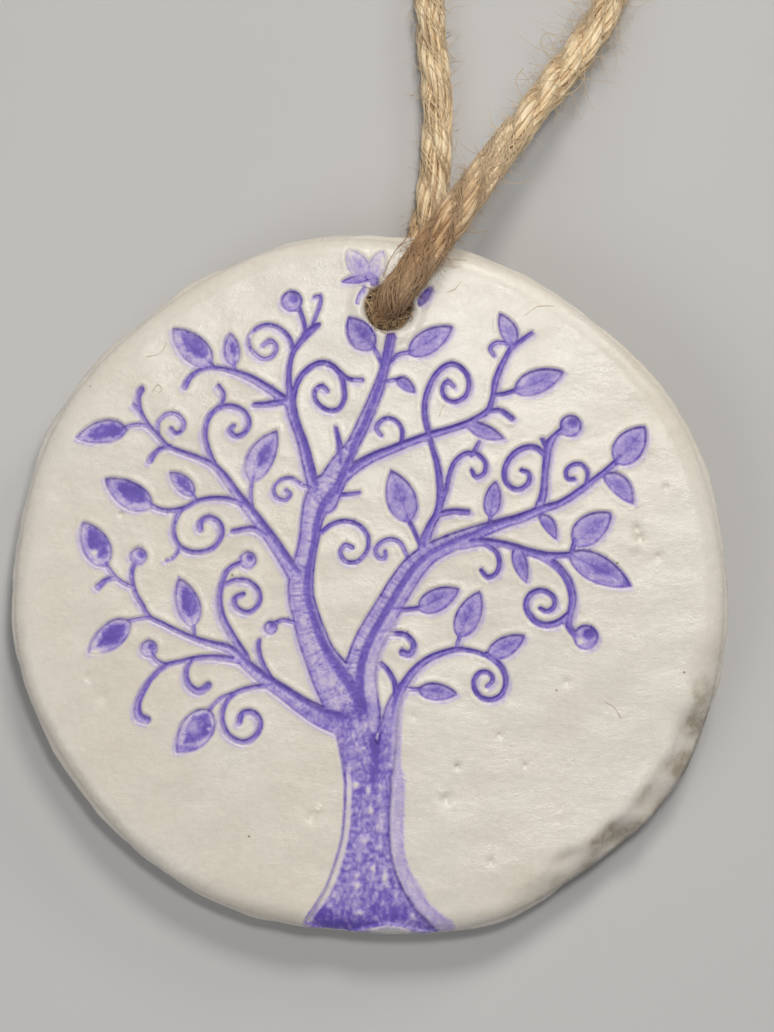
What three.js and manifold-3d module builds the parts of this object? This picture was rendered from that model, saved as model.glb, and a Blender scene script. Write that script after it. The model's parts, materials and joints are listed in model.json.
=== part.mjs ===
// A clay ornament: a hand-shaped round tablet with a tree of life stamped into its face in purple ink, and a
// loop of jute twine through the hole near its rim.
//
// Millimetres, +Z up. The tablet lies face up. Its back rests on the rim's lower edge and, beyond the hole, on
// the twine, which props it up by a few degrees. The tablet and its print are drawn flat, in the tablet's own
// plane (x to the right, y towards the hole, z = 0 on the back face), and tilted as one group.

import * as THREE from "three";
import Module from "manifold-3d";
import { mergeVertices } from "three/addons/utils/BufferGeometryUtils.js";

const wasm = await Module();
wasm.setup();

// ---- Driving dimensions ----

const thickness = 7;
const tilt = THREE.MathUtils.degToRad(3.5);
const lowestRim = THREE.MathUtils.degToRad(-101); // which way the tablet leans, from +x towards +y
const hole = new THREE.Vector2(1.85, 29.4);
const holeRadius = 2.45;
const holeLip = 0.5; // how far the hole's edges are rounded off
const holeSides = 24;
const printDepth = 0.5; // how deep the stamp went into the face
const inkThickness = 0.2;
const inkGap = 0.05; // between the ink and the clay around it
const twineRadius = 1.75;
const touchGap = 0.3; // between pieces of twine that meet
const tiny = 1e-5;

// How finely the print's outlines are cut.
const strokeFineStep = 0.2;
const strokeLongStep = 3.2;
const strokeTurn = THREE.MathUtils.degToRad(38);
const leafSegments = 4;
const berrySegments = 4;

// A leaf's control points stand at these shares of its length, and its curves go three quarters of the way
// out to them.
const leafShoulders = [0.12, 0.68];
const leafFullness = 0.75;

// The hand-shaped rim: its distance from the middle at every 15 degrees, counted from +x towards +y.
const rimRadii = [
  37.6, 37.4, 37.4, 36.8, 36.8, 36.8, 37.0, 37.4, 37.1, 37.2, 37.7, 37.7,
  37.9, 38.1, 37.5, 37.4, 37.3, 36.8, 36.7, 37.6, 37.9, 38.5, 39.0, 38.2,
];
const rimSides = 72;

// The rounded edge, from the back to the face: [distance in from the rim, height].
const edgeProfile = [
  [1.1, 0], [0.35, 0.5], [0, 1.6], [0, thickness - 2.6], [0.25, thickness - 1.2], [0.8, thickness - 0.4],
  [1.7, thickness],
];

// Below right, fingers pinched the rim into a slope: its middle direction and half its spread, how far it
// pulls the edge of the face and the side inwards, and how far it takes the side's upper edge down.
const pinchMiddle = THREE.MathUtils.degToRad(-38);
const pinchSpread = THREE.MathUtils.degToRad(30);
const pinchFaceReach = 1.6;
const pinchSideReach = 0.5;
const pinchDrop = 1.8;

// ---- Materials ----

const clay = new THREE.MeshStandardMaterial({ color: 0xdcd5c8, roughness: 0.55, metalness: 0 });
const ink = new THREE.MeshStandardMaterial({ color: 0x7a66c8, roughness: 0.5, metalness: 0 });
const jute = new THREE.MeshStandardMaterial({ color: 0xb08d57, roughness: 0.95, metalness: 0 });

// ---- The print, in the tablet's plane ----

// Limbs: points from root to tip, each [x, y, width].
const limbs = [
  // trunk, from the spread of its roots
  [[0.3, -34.7, 13.8], [0.1, -33.4, 11.6], [-0.2, -31.8, 9.4], [-0.4, -30, 7.9], [-0.3, -28, 6.4],
    [-0.1, -25, 5.7], [0.1, -22, 5.8], [0, -20, 5.8], [-0.3, -18, 5.6], [-0.6, -16, 6.2], [-1.4, -13, 6]],
  // left main limb
  [[-1.4, -14, 5], [-2.8, -11.4, 5], [-4.3, -9, 4.2], [-5.4, -7, 3.4], [-6.2, -5, 3.2], [-6.8, -3, 2.9],
    [-7.3, -1, 2.8], [-7.3, 1, 2.7], [-6.9, 3, 2.3], [-6.5, 5, 2.2], [-6.2, 7, 2.4], [-5.6, 9, 2.9],
    [-4.7, 10.4, 3.2]],
  // right main limb, out to the leaf at its end
  [[-1.2, -13.4, 4.6], [-1.2, -9.4, 3.6], [-0.8, -7.2, 3.2], [-0.1, -5.4, 3.1], [0.9, -3.6, 3],
    [2.1, -1.6, 2.9], [3.3, 0.4, 2.8], [4.6, 2.2, 2.6], [6.2, 3.6, 2.2], [8.2, 4.6, 2], [10.2, 5.4, 1.8],
    [12, 6.1, 1.5], [14, 6.8, 1.2], [16, 7.4, 1.1], [17.9, 8.2, 1], [20, 8.9, 0.8], [22, 10.2, 0.8],
    [23.6, 11.4, 0.7], [25, 12.5, 0.7], [26.3, 13.7, 0.7]],
  // top limb, up to the hole
  [[-4.9, 9.2, 3], [-3.9, 11.4, 2.8], [-3, 13.2, 2.2], [-1.9, 15, 1.5], [-0.9, 17, 1.5], [0, 19, 1.4],
    [0.8, 21, 1.3], [1.3, 22.6, 1.1], [1.7, 24.2, 1.1], [2.1, 26.3, 1.1]],
  // top limb's branch to the right
  [[-3.4, 11.6, 1.9], [-1.6, 12.7, 1.3], [0.2, 13.7, 1.1], [2.2, 14.5, 1], [4.2, 15.3, 0.9], [6.2, 16, 0.9],
    [8.2, 16.6, 0.8], [10, 17.2, 0.8], [11.3, 17.9, 0.7], [12.3, 18.6, 0.7], [12.8, 20, 0.6],
    [13.1, 21.6, 0.8], [13.6, 23, 0.7], [14.3, 24.4, 0.6], [15, 25.6, 0.5]],
  // left main limb's branch towards the top left, with its fork
  [[-5.5, 9.4, 1.8], [-6.1, 11, 1.4], [-6.6, 13, 1.3], [-7.1, 15, 1.2], [-7.8, 17, 1.1], [-8.3, 18.6, 1.2],
    [-8.4, 20, 1], [-8.6, 21.6, 0.7], [-8.5, 23.4, 0.6], [-8.1, 24.8, 0.6], [-7.3, 25.9, 0.7],
    [-6.6, 26.8, 0.9], [-5.5, 27.6, 0.6]],
  [[-8.3, 19.1, 1.1], [-9.6, 20.1, 1], [-11.2, 21.2, 0.9], [-13, 22.2, 0.8], [-14.8, 22.8, 0.6],
    [-16.4, 23.1, 0.5], [-17.8, 22.9, 0.5], [-18.9, 22.2, 0.6], [-19.5, 21.1, 0.7]],
  // left main limb's branch towards the upper left
  [[-7.2, 0.4, 2.2], [-8.8, 2.6, 1.5], [-10.1, 4.6, 1.4], [-11.4, 6.4, 1.3], [-12.8, 8.2, 1.2],
    [-14.2, 10, 1], [-15.4, 11.7, 0.9], [-16.6, 12.9, 0.7], [-18.3, 13.7, 0.6], [-20, 14.3, 0.55],
    [-21.4, 14.9, 0.55], [-22.4, 16, 0.55], [-23.4, 17.1, 0.5], [-24.2, 18.6, 0.5], [-24.4, 20, 0.6],
    [-24.1, 20.8, 0.8]],
  // lowest branch to the left, and its fork
  [[-2.2, -14.4, 3], [-5, -13.6, 2.3], [-7, -12.5, 1.9], [-9, -11.1, 1.6], [-11, -9.7, 1.4],
    [-13, -8.1, 1.2], [-14.4, -6.7, 1]],
  [[-13.2, -7.6, 1.2], [-15, -6.4, 1], [-17, -5.8, 0.7], [-18.6, -5.3, 0.6], [-20.2, -4.6, 0.5],
    [-21.8, -3.8, 0.5], [-23.3, -3, 0.5], [-24, -1.8, 0.5], [-24.7, -0.6, 0.5], [-25, 0.4, 0.5],
    [-25.1, 1.4, 0.5], [-24.8, 2.6, 0.5]],
  [[-13.4, -7.7, 0.9], [-15.4, -7.4, 0.7], [-17.3, -7.3, 0.6], [-18.8, -7.5, 0.6], [-20.2, -7.8, 0.5],
    [-21.6, -8.2, 0.6], [-22.9, -9.4, 0.6], [-23.9, -10.9, 0.7], [-24.5, -12.4, 0.8], [-24.3, -13.6, 1],
    [-23.5, -13.9, 0.9]],
  // lowest branch to the right
  [[1.2, -19, 2.6], [1.7, -16.5, 2.1], [2, -14, 1.8], [2.5, -12, 1.4], [3.4, -10.3, 1], [4.5, -8.8, 0.9],
    [5.9, -7.6, 0.8], [7.5, -6.9, 0.7], [9.1, -6.5, 0.6], [10.8, -6.7, 0.5], [12.4, -7.2, 0.5]],
  // branches off the right main limb
  [[5.4, 3, 1.4], [5.7, 5, 1.2], [6.3, 6.5, 1], [7, 7.8, 0.9], [7.3, 9.4, 0.9], [7.2, 11.4, 0.8],
    [6.9, 13.2, 0.7], [6.4, 14.9, 0.6], [6.2, 16, 0.6]],
  [[17.5, 8, 1], [18.1, 9.8, 0.9], [18.3, 12, 0.8], [18.5, 13.8, 0.9], [18.7, 15, 1], [19.4, 16, 0.7],
    [20.3, 16.7, 0.7]],
  [[9.4, 4.6, 1.3], [11.4, 4.8, 1], [13.2, 4.7, 0.8], [15, 4.3, 0.8], [16.8, 3.7, 0.9], [18.6, 3.3, 1],
    [20, 3.4, 0.7], [21.2, 3.5, 0.7]],
  [[18.2, 3.2, 0.9], [19.7, 2.1, 0.9], [20.8, 0.5, 0.9], [21.2, -1.3, 0.9], [20.9, -3, 0.8],
    [20.8, -4.1, 0.8], [21.6, -5.1, 0.8]],
];

// Scrolls and twigs: [width at the root, width at the tip, points from root to tip as [x, y]].
const scrolls = [
  // left of the trunk, from the bottom up
  [0.5, 0.7, [[-10.4, -10.3], [-12.6, -10.5], [-14.3, -11.1], [-15.3, -12.3], [-15.6, -13.9],
    [-14.9, -15.5], [-13.4, -16.2], [-12, -15.5], [-11.6, -14.1], [-12.4, -13.1], [-13.5, -13.2],
    [-13.8, -14.2]]],
  [0.5, 0.9, [[-18.9, -7.6], [-19.4, -8.9], [-19.1, -10.2], [-18.1, -10.9], [-17.1, -10.3]]],
  [0.9, 0.5, [[-13.2, -7.2], [-14.6, -5], [-15.6, -3], [-15.9, -1], [-15.5, 0.8], [-14.9, 2], [-13.6, 2.7]]],
  [0.5, 0.6, [[-15.5, 0.3], [-14.2, 0.8], [-12.7, 0.6], [-11.7, -0.5], [-11.8, -1.8], [-12.9, -2.6],
    [-14.1, -2.1], [-14.3, -1.1], [-13.4, -0.7]]],
  [0.45, 0.7, [[-19.7, 8.4], [-20.5, 7.1], [-20.7, 5.8], [-20.2, 4.5], [-19, 3.8], [-17.5, 3.8], [-16.2, 4.5],
    [-15.6, 5.8], [-16, 6.9], [-17, 7.4], [-17.9, 6.9], [-17.9, 6.1]]],
  [0.4, 0.5, [[-22.3, 15.8], [-22.3, 17.3], [-21.5, 18.2], [-20.4, 18.2], [-19.6, 17.3], [-19.8, 16.5],
    [-20.5, 16.2], [-21, 16.7]]],
  [0.6, 0.6, [[-16.3, 12.7], [-17, 14.3], [-17.4, 16], [-17.1, 17.6], [-16.3, 18.7], [-15.2, 19.1],
    [-14, 18.9], [-13, 18.1], [-12.8, 17], [-13.3, 16.2], [-14.2, 15.9], [-14.8, 16.5], [-14.4, 17]]],
  [0.35, 0.4, [[-5.6, 10.2], [-7.2, 10.8], [-8.3, 11.5], [-9.5, 11.3], [-10.2, 10.3], [-9.8, 9.4],
    [-8.9, 9.2], [-8.4, 9.8], [-8.9, 10.2]]],
  [0.5, 0.45, [[-8.1, 24.8], [-8.6, 26.3], [-9.7, 27.3], [-11.1, 27.6], [-12.3, 27], [-12.8, 25.8],
    [-12.3, 24.7], [-11.2, 24], [-10.2, 24.4], [-9.9, 25.3], [-10.6, 26], [-11.3, 25.4]]],
  [0.7, 0.45, [[-8.2, 19.6], [-7.8, 21.3], [-6.8, 22.8], [-5.4, 23.6], [-4.2, 23.4], [-3.2, 22.4],
    [-2.8, 21], [-2.8, 19.7], [-3.5, 18.7], [-4.7, 18.7], [-5.8, 19.7], [-5.8, 20.8], [-5.1, 21.2],
    [-4.5, 20.6]]],
  // between the two main limbs
  [0.5, 0.45, [[-5.2, 5.8], [-4.2, 6.6], [-2.8, 7], [-1.3, 6.6], [-0.3, 5.4], [-0.4, 3.9], [-1.5, 2.7],
    [-2.7, 2.8], [-3.2, 3.8], [-2.7, 4.5], [-1.9, 4.2]]],
  [0.45, 0.45, [[4.2, 2.4], [3.6, 3.7], [3.1, 4.7], [2.1, 5.1], [1, 4.7], [0.5, 3.9], [0.8, 3.1],
    [1.5, 3.1], [1.5, 3.8]]],
  // right of the trunk
  [0.5, 0.45, [[3.1, 14.8], [3.3, 16.3], [2.8, 17.4], [1.8, 17.8], [0.9, 17.4], [0.6, 16.6], [1.1, 16]]],
  [0.7, 0.45, [[6.2, 15.8], [5.7, 17.8], [5.7, 19.6], [6.3, 21.5], [7.3, 22.9], [8.5, 23.5], [9.7, 22.9],
    [10.3, 21.6], [10, 20.2], [8.9, 19.5], [7.8, 19.9], [7.5, 21], [8.1, 21.7], [8.7, 21.1]]],
  [0.45, 0.45, [[15.1, 25.3], [14, 25.7], [13.1, 25.7], [12.5, 25.1], [12.9, 24.4]]],
  [0.6, 0.5, [[7.2, 8.4], [7.9, 10.2], [8.3, 12], [8.9, 13.3], [10, 14.1], [11.2, 14], [12, 13.1], [11.9, 12],
    [11, 11.6], [10.6, 12.3]]],
  [0.7, 0.5, [[18.5, 13.8], [17.3, 14.7], [15.9, 14.6], [14.6, 13.6], [14, 12.1], [14.3, 10.9], [15.4, 10.3],
    [16.5, 10.9], [16.6, 12], [15.8, 12.3]]],
  [0.5, 0.5, [[22.5, 10.5], [22.8, 12], [22.2, 12.9], [21.2, 12.9], [20.5, 12.2], [20.7, 11.4], [21.4, 11.4]]],
  [0.8, 0.5, [[20.9, -2.8], [19.6, -3.7], [18.2, -3.9], [16.9, -3.2], [16.3, -1.9], [16.8, -0.7], [18, -0.3],
    [19.1, -0.9], [19.3, -1.9], [18.6, -2.5], [17.8, -2.2]]],
  [0.6, 0.5, [[12, 4.6], [13.2, 3.7], [13.5, 2.5], [13.1, 1.4], [12.2, 1.1], [11.6, 1.8]]],
  [0.5, 0.8, [[0.8, -4.7], [2.4, -4.8], [3.7, -5], [4.5, -6], [4.1, -7], [3.3, -6.8]]],
  [0.7, 0.45, [[12.2, -7], [13.6, -8.2], [14.2, -9.8], [13.7, -11.3], [12.4, -11.8], [11.2, -11.2],
    [10.8, -9.9], [11.5, -8.9], [12.5, -9], [12.8, -9.8], [12.2, -10.4]]],
];

const twigs = [
  // left
  [0.6, 0.5, [[-10.3, -9.9], [-11.4, -7.9], [-11.8, -6.4], [-11.7, -5.5]]],
  [0.4, 0.5, [[-7.8, -3.8], [-9.2, -3.4], [-10.2, -3.8]]],
  [0.4, 0.5, [[-21.4, -8.1], [-22.5, -7.7], [-23.1, -6.8]]],
  [0.4, 0.4, [[-14.2, -11], [-15.9, -11.7], [-17.1, -13.1]]],
  [0.4, 0.4, [[-18.5, -5.4], [-18.6, -4.1]]],
  [0.4, 0.4, [[-23.2, -3.1], [-24.4, -3.3], [-25.6, -3.5]]],
  [0.4, 0.4, [[-24.9, 0], [-26, 0.5], [-26.9, 1.2], [-27.9, 2.6]]],
  [0.4, 0.8, [[-26.7, 1], [-27.8, 0.8], [-28.6, 0.1]]],
  [0.7, 0.6, [[-11, 5.4], [-12.4, 6.2], [-14.5, 5.9]]],
  [0.35, 0.3, [[-20.1, 4.5], [-20.5, 3.3], [-21.5, 2.8]]],
  [0.45, 0.4, [[-12.3, 7.6], [-12.6, 9.6], [-12.4, 11.6]]],
  [0.6, 0.45, [[-12.6, 8.1], [-13.6, 8.8], [-15, 9.3], [-16.6, 9.4], [-18.2, 9.1], [-19.6, 8.4],
    [-21.2, 8.1], [-22.6, 8.4], [-23.5, 9.1]]],
  [0.4, 0.4, [[-18.2, 9], [-18.9, 10]]],
  [0.4, 0.7, [[-21, 14.9], [-22.4, 14.4], [-23.2, 13.3]]],
  [0.4, 0.4, [[-23.4, 17], [-24.9, 17.1], [-26.2, 16.7]]],
  [0.4, 0.4, [[-24, 18.1], [-24.9, 19.2]]],
  [0.5, 0.5, [[-15.9, 18.8], [-15.4, 20.2], [-16, 21.2]]],
  [0.8, 0.6, [[-9, 19.6], [-10.6, 19.3], [-12.2, 19.2]]],
  [0.45, 0.45, [[-14.3, 22.8], [-14.4, 23.8]]],
  [0.45, 0.5, [[-16.3, 23], [-17.1, 23.7]]],
  [0.5, 0.5, [[-6.8, 26.5], [-7, 27.8], [-7.5, 29.3]]],
  [0.4, 0.4, [[-6.3, 27], [-5.8, 28.4], [-5.3, 29.7], [-5.3, 30.6], [-5.9, 30.5]]],
  [0.5, 0.5, [[-3.3, 22.7], [-2.3, 21.9], [-0.9, 21.8]]],
  // centre
  [0.8, 0.4, [[-3.2, 12.8], [-3.3, 15.2], [-3.7, 16.9]]],
  [0.6, 0.35, [[-3.9, 9.8], [-2.4, 9.8], [-1.1, 10]]],
  [0.5, 0.45, [[1.5, 22.7], [0.8, 24.3], [0.1, 25.6]]],
  [0.5, 0.45, [[1.6, 23.2], [2.8, 24.4], [4.4, 24.8]]],
  [0.4, 0.4, [[1, 21.5], [2.4, 21.8], [3.2, 21.8]]],
  // right
  [0.5, 0.7, [[12.2, 18.5], [13.6, 18.6], [14.8, 17.8]]],
  [0.5, 0.5, [[12.8, 20.2], [14.2, 20.4], [15.6, 20.9]]],
  [0.5, 0.5, [[14.8, 25.1], [16, 26.1], [16.9, 26.7]]],
  [0.5, 0.5, [[5.3, 4.2], [4.5, 6], [3.8, 7.4]]],
  [0.7, 0.7, [[6.9, 7.6], [8.6, 8], [10.2, 7.9]]],
  [0.5, 0.45, [[10.6, 13.9], [11.4, 15.3]]],
  [0.45, 0.45, [[12.4, 6.4], [12.6, 7.7]]],
  [0.6, 0.5, [[18.5, 14.6], [18, 15.6]]],
  [0.6, 0.6, [[21, 3.4], [21.5, 5]]],
  [0.6, 0.5, [[2.2, -2.4], [4, -2.3], [5.3, -2.1]]],
  [0.45, 0.45, [[8.9, -6.6], [9.4, -5]]],
  [0.45, 0.45, [[3.2, -10.5], [4.4, -10.7], [5.4, -10.6]]],
  [0.7, 0.45, [[2.6, -12], [2.5, -10], [1.8, -8.7], [1, -7.9]]],
];

// Leaves: [base, tip, width, bow], the bow being how far the whole leaf bulges to the left of base-to-tip.
const leaves = [
  // left, from the bottom up
  [[-16.8, -12.8], [-20.4, -17.4], 3.5, 0.2],
  [[-25.3, -3.4], [-29.7, -6.9], 2.8, 0.1],
  [[-18.6, -4.2], [-20.2, 1.1], 2.6, -0.2],
  [[-27.8, 2.2], [-30.3, 7], 3, -0.1],
  [[-22.9, 8.5], [-28, 11.5], 2.9, 0.2],
  [[-18.6, 9.6], [-21.2, 12.2], 1.8, -0.2],
  [[-25.5, 16.6], [-31, 15.7], 2.5, -0.3],
  [[-12.6, 11.1], [-9.8, 16.6], 2.9, 0.3],
  [[-16.7, 23.3], [-20.9, 27.3], 2.9, 0],
  [[-14.4, 23.2], [-14.8, 26.9], 1.8, 0],
  // beside the hole
  [[0.3, 25], [-2.4, 28.5], 2.8, 0.2],
  [[3.9, 24.5], [8.7, 27.5], 2.6, 0],
  [[2.6, 22], [4.7, 20.4], 1.3, 0.2],
  // right, from the top down
  [[15, 25.3], [13.5, 28.9], 1.9, -0.2],
  [[15, 20.6], [20.4, 22.7], 2.6, 0.1],
  [[10, 17.3], [14.1, 15.6], 1.6, -0.1],
  [[25.7, 13], [28.9, 17], 3.2, 0],
  [[24.4, 11.9], [27.6, 8.7], 2.1, 0.6],
  [[12.5, 7.3], [13.1, 11.3], 1.9, 0],
  [[4.1, 6.8], [2.1, 12.4], 3.2, 0],
  [[17.6, 7.7], [19.5, 5], 1.4, 0.4],
  [[21.2, 4.5], [25.4, 7.9], 3.1, 0.2],
  [[20.8, 3.6], [27.4, 0.1], 3, 0],
  [[15.2, 4.4], [16.4, 0.4], 1.6, -0.1],
  [[4.9, -2.3], [9.4, -0.1], 2.5, 0],
  [[9.2, -5.3], [11.5, -0.3], 2.7, 0],
  [[12.2, -7.3], [16.3, -5], 2.2, 0],
  [[4.9, -10.7], [9.2, -11.2], 1.9, 0],
];

// Berries: [x, y, radius].
const berries = [
  [-23.3, -6.4, 0.95],
  [-24.4, 3.3, 0.95],
  [-12.9, 2.9, 0.95],
  [-10.5, -4.2, 0.75],
  [-8.3, 30.1, 1.15],
  [21, 17, 1.2],
  [22.6, -5.2, 1.35],
];

// The top of the tree, above the hole, and one leaf beside it.
const treetopLeaves = [
  [[-0.3, 32.6], [-2.5, 35.6], 2.2, 0.1],
  [[0.3, 32.4], [1.3, 35.5], 1.8, 0.1],
  [[-0.1, 32.3], [-3.2, 32.1], 0.9, -0.2],
];
const treetopStalk = [0.8, 0.9, [[0.1, 32.8], [0.4, 32.2]]];
const rimLeaf = [[5, 29.6], [6.5, 31.7], 1, 0];

// ---- Twine route, in the finished object's own place, knot to knot ----

const knotCentre = new THREE.Vector3(17, 97.5, 4.2);
const knotSize = new THREE.Vector3(11, 10, 8.2);
const tailLength = 13;
const loopSteps = 76;
const tailSteps = 5;

// From the knot's right side, over the rim, down through the hole, under the tablet and back to the knot.
const twineRoute = [
  [19.4, 91.9, 2.8], [23.2, 85.6, 1.9], [26.8, 78, 1.9], [28, 70, 1.9], [26.2, 63.6, 2.4], [22.7, 57.8, 4.4],
  [18.2, 51.6, 7.8], [14, 45.8, 11.2], [10.4, 40.6, 13.5], [7.2, 36.2, 14.2], [4.6, 32.6, 14],
  [2.8, 30.3, 12.7], [2, 29.3, 10.4], [1.9, 29.2, 7.4], [1.95, 29.35, 4.8], [2.8, 30.8, 2.2],
  [4.5, 34, 1.9], [6, 38.6, 1.9], [7.1, 45, 1.9], [7.3, 53, 1.9], [6.6, 62, 1.9], [7.2, 72, 1.9],
  [10.4, 82, 1.9], [14.6, 91.9, 2.8],
].map((point) => new THREE.Vector3(...point));

// ---- Helpers ----

function toSolid(geometry) {
  const bare = geometry.index ? geometry.toNonIndexed() : geometry.clone();
  bare.deleteAttribute("normal");
  bare.deleteAttribute("uv");
  const merged = mergeVertices(bare, tiny);
  const vertProperties = new Float32Array(merged.attributes.position.array);
  const triVerts = new Uint32Array(merged.index.array);
  return new wasm.Manifold(new wasm.Mesh({ numProp: 3, vertProperties, triVerts }));
}

function toGeometry(solid) {
  const mesh = solid.getMesh();
  const geometry = new THREE.BufferGeometry();
  geometry.setAttribute("position", new THREE.BufferAttribute(mesh.vertProperties, 3));
  geometry.setIndex(new THREE.BufferAttribute(mesh.triVerts, 1));
  geometry.computeVertexNormals();
  return geometry;
}

function namedMesh(name, geometry, material) {
  const mesh = new THREE.Mesh(geometry, material);
  mesh.name = name;
  return mesh;
}

function joinAll(solids) {
  return solids.reduce((whole, next) => whole.add(next));
}

// A flat shape of the print as a solid from height low to height high.
function slab(shape, low, high, curveSegments) {
  const geometry = new THREE.ExtrudeGeometry(shape, {
    depth: high - low, bevelEnabled: false, steps: 1, curveSegments,
  });
  geometry.translate(0, 0, low);
  return toSolid(geometry);
}

// A stroke of the stamp: a ribbon along a smooth curve, as wide as the third number at each point says, with
// a pointed tip. Straight stretches take few points, and tight ones more. Everything grows by the margin.
function strokeShape(points, margin) {
  const places = points.map((point) => new THREE.Vector3(...point));
  const curve = new THREE.CatmullRomCurve3(places, false, "centripetal");
  const fineSteps = Math.ceil(curve.getLength() / strokeFineStep);
  const left = [];
  const right = [];
  let lastPlace = null;
  let lastAlong = null;
  for (let i = 0; i <= fineSteps; i++) {
    const place = curve.getPoint(i / fineSteps);
    const along = curve.getTangent(i / fineSteps).setZ(0).normalize();
    const isEnd = i === 0 || i === fineSteps;
    if (!isEnd && along.angleTo(lastAlong) < strokeTurn && place.distanceTo(lastPlace) < strokeLongStep) {
      continue;
    }
    const half = place.z / 2 + margin;
    left.push(new THREE.Vector2(place.x - along.y * half, place.y + along.x * half));
    right.unshift(new THREE.Vector2(place.x + along.y * half, place.y - along.x * half));
    lastPlace = place;
    lastAlong = along;
  }
  const tipReach = lastPlace.z / 2 + margin;
  const tip = new THREE.Vector2(lastPlace.x + lastAlong.x * tipReach, lastPlace.y + lastAlong.y * tipReach);
  return new THREE.Shape([...left, tip, ...right]);
}

function evenStroke([rootWidth, tipWidth, places], margin) {
  const last = places.length - 1;
  const widthAt = (i) => rootWidth + (tipWidth - rootWidth) * i / last;
  return strokeShape(places.map(([x, y], i) => [x, y, widthAt(i)]), margin);
}

// A leaf is two curves from base to tip, widest a little below its middle.
function leafShape([[x0, y0], [x1, y1], width, bow], margin) {
  const along = new THREE.Vector2(x1 - x0, y1 - y0);
  const length = along.length();
  along.normalize();
  const across = new THREE.Vector2(-along.y, along.x);
  const half = (width / 2 + margin) / leafFullness;
  const [low, high] = leafShoulders;
  const at = (share, side) => new THREE.Vector2(x0, y0)
    .addScaledVector(along, share * (length + 2 * margin) - margin)
    .addScaledVector(across, side);
  const shape = new THREE.Shape();
  const base = at(0, 0);
  const tip = at(1, 0);
  shape.moveTo(base.x, base.y);
  const leftLow = at(low, half + bow);
  const leftHigh = at(high, half + bow);
  shape.bezierCurveTo(leftLow.x, leftLow.y, leftHigh.x, leftHigh.y, tip.x, tip.y);
  const rightHigh = at(high, -half + bow);
  const rightLow = at(low, -half + bow);
  shape.bezierCurveTo(rightHigh.x, rightHigh.y, rightLow.x, rightLow.y, base.x, base.y);
  return shape;
}

function berryShape([x, y, radius], margin) {
  const shape = new THREE.Shape();
  shape.absarc(x, y, radius + margin, 0, 2 * Math.PI, false);
  return shape;
}

// ---- The print's solids ----

function treeSolid(low, high, margin) {
  return joinAll([
    ...limbs.map((points) => slab(strokeShape(points, margin), low, high, 1)),
    ...scrolls.map((stroke) => slab(evenStroke(stroke, margin), low, high, 1)),
    ...twigs.map((stroke) => slab(evenStroke(stroke, margin), low, high, 1)),
    ...leaves.map((leaf) => slab(leafShape(leaf, margin), low, high, leafSegments)),
    ...berries.map((berry) => slab(berryShape(berry, margin), low, high, berrySegments)),
  ]);
}

function treetopSolid(low, high, margin) {
  return joinAll([
    ...treetopLeaves.map((leaf) => slab(leafShape(leaf, margin), low, high, leafSegments)),
    slab(evenStroke(treetopStalk, margin), low, high, 1),
  ]);
}

function rimLeafSolid(low, high, margin) {
  return slab(leafShape(rimLeaf, margin), low, high, leafSegments);
}

// ---- Clay tablet ----

function rimRadius(angle) {
  const turn = rimRadii.length;
  const place = ((angle / (2 * Math.PI)) % 1 + 1) % 1 * turn;
  const i = Math.floor(place);
  const at = (k) => rimRadii[(k + turn) % turn];
  return new THREE.CubicInterpolant(
    [i - 1, i, i + 1, i + 2], [at(i - 1), at(i), at(i + 1), at(i + 2)], 1,
  ).evaluate(place)[0];
}

function pinch(angle) {
  const away = Math.atan2(Math.sin(angle - pinchMiddle), Math.cos(angle - pinchMiddle)) / pinchSpread;
  return Math.abs(away) < 1 ? 0.5 + 0.5 * Math.cos(Math.PI * away) : 0;
}

// A turned blank, whose rings are then drawn in or out to the hand-shaped rim, and pinched below right.
function tabletBlank() {
  const blankRadius = Math.max(...rimRadii);
  const points = [
    new THREE.Vector2(0, 0),
    ...edgeProfile.map(([inset, height]) => new THREE.Vector2(blankRadius - inset, height)),
    new THREE.Vector2(0, thickness),
  ];
  const geometry = new THREE.LatheGeometry(points, rimSides);
  geometry.rotateX(Math.PI / 2);
  const position = geometry.attributes.position;
  for (let i = 0; i < position.count; i++) {
    const x = position.getX(i);
    const y = position.getY(i);
    const height = Math.abs(position.getZ(i));
    const radius = Math.hypot(x, y);
    if (radius < tiny) {
      continue;
    }
    const angle = Math.atan2(y, x);
    const onFace = height > thickness - tiny;
    const pinched = pinch(angle) * (height / thickness) ** 2;
    const inset = blankRadius - radius + pinched * (onFace ? pinchFaceReach : pinchSideReach);
    const stretch = (rimRadius(angle) - inset) / radius;
    position.setXYZ(i, x * stretch, y * stretch, onFace ? height : height - pinchDrop * pinched);
  }
  return geometry;
}

// The hole was poked through while the clay was soft, so its edges are rounded off.
function holeCutter() {
  const past = 1; // so that the cutter goes right through
  const profile = [
    [0, -past], [holeRadius + holeLip + past, -past], [holeRadius + holeLip, 0], [holeRadius, holeLip],
    [holeRadius, thickness - holeLip], [holeRadius + holeLip, thickness],
    [holeRadius + holeLip + past, thickness + past], [0, thickness + past],
  ].map(([r, z]) => new THREE.Vector2(r, z));
  const geometry = new THREE.LatheGeometry(profile, holeSides);
  geometry.rotateX(Math.PI / 2);
  geometry.translate(hole.x, hole.y, 0);
  return geometry;
}

function clayDisc() {
  const floor = thickness - printDepth;
  const above = thickness + printDepth;
  const pressed = toSolid(tabletBlank())
    .subtract(toSolid(holeCutter()))
    .subtract(treeSolid(floor, above, inkGap))
    .subtract(treetopSolid(floor, above, inkGap))
    .subtract(rimLeafSolid(floor, above, inkGap));
  return toGeometry(pressed);
}

// ---- Twine ----

function twineTube(points, steps) {
  const section = new THREE.Shape();
  section.absarc(0, 0, twineRadius, 0, 2 * Math.PI, false);
  return new THREE.ExtrudeGeometry(section, {
    steps, curveSegments: 4, bevelEnabled: false, extrudePath: new THREE.CatmullRomCurve3(points),
  });
}

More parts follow.
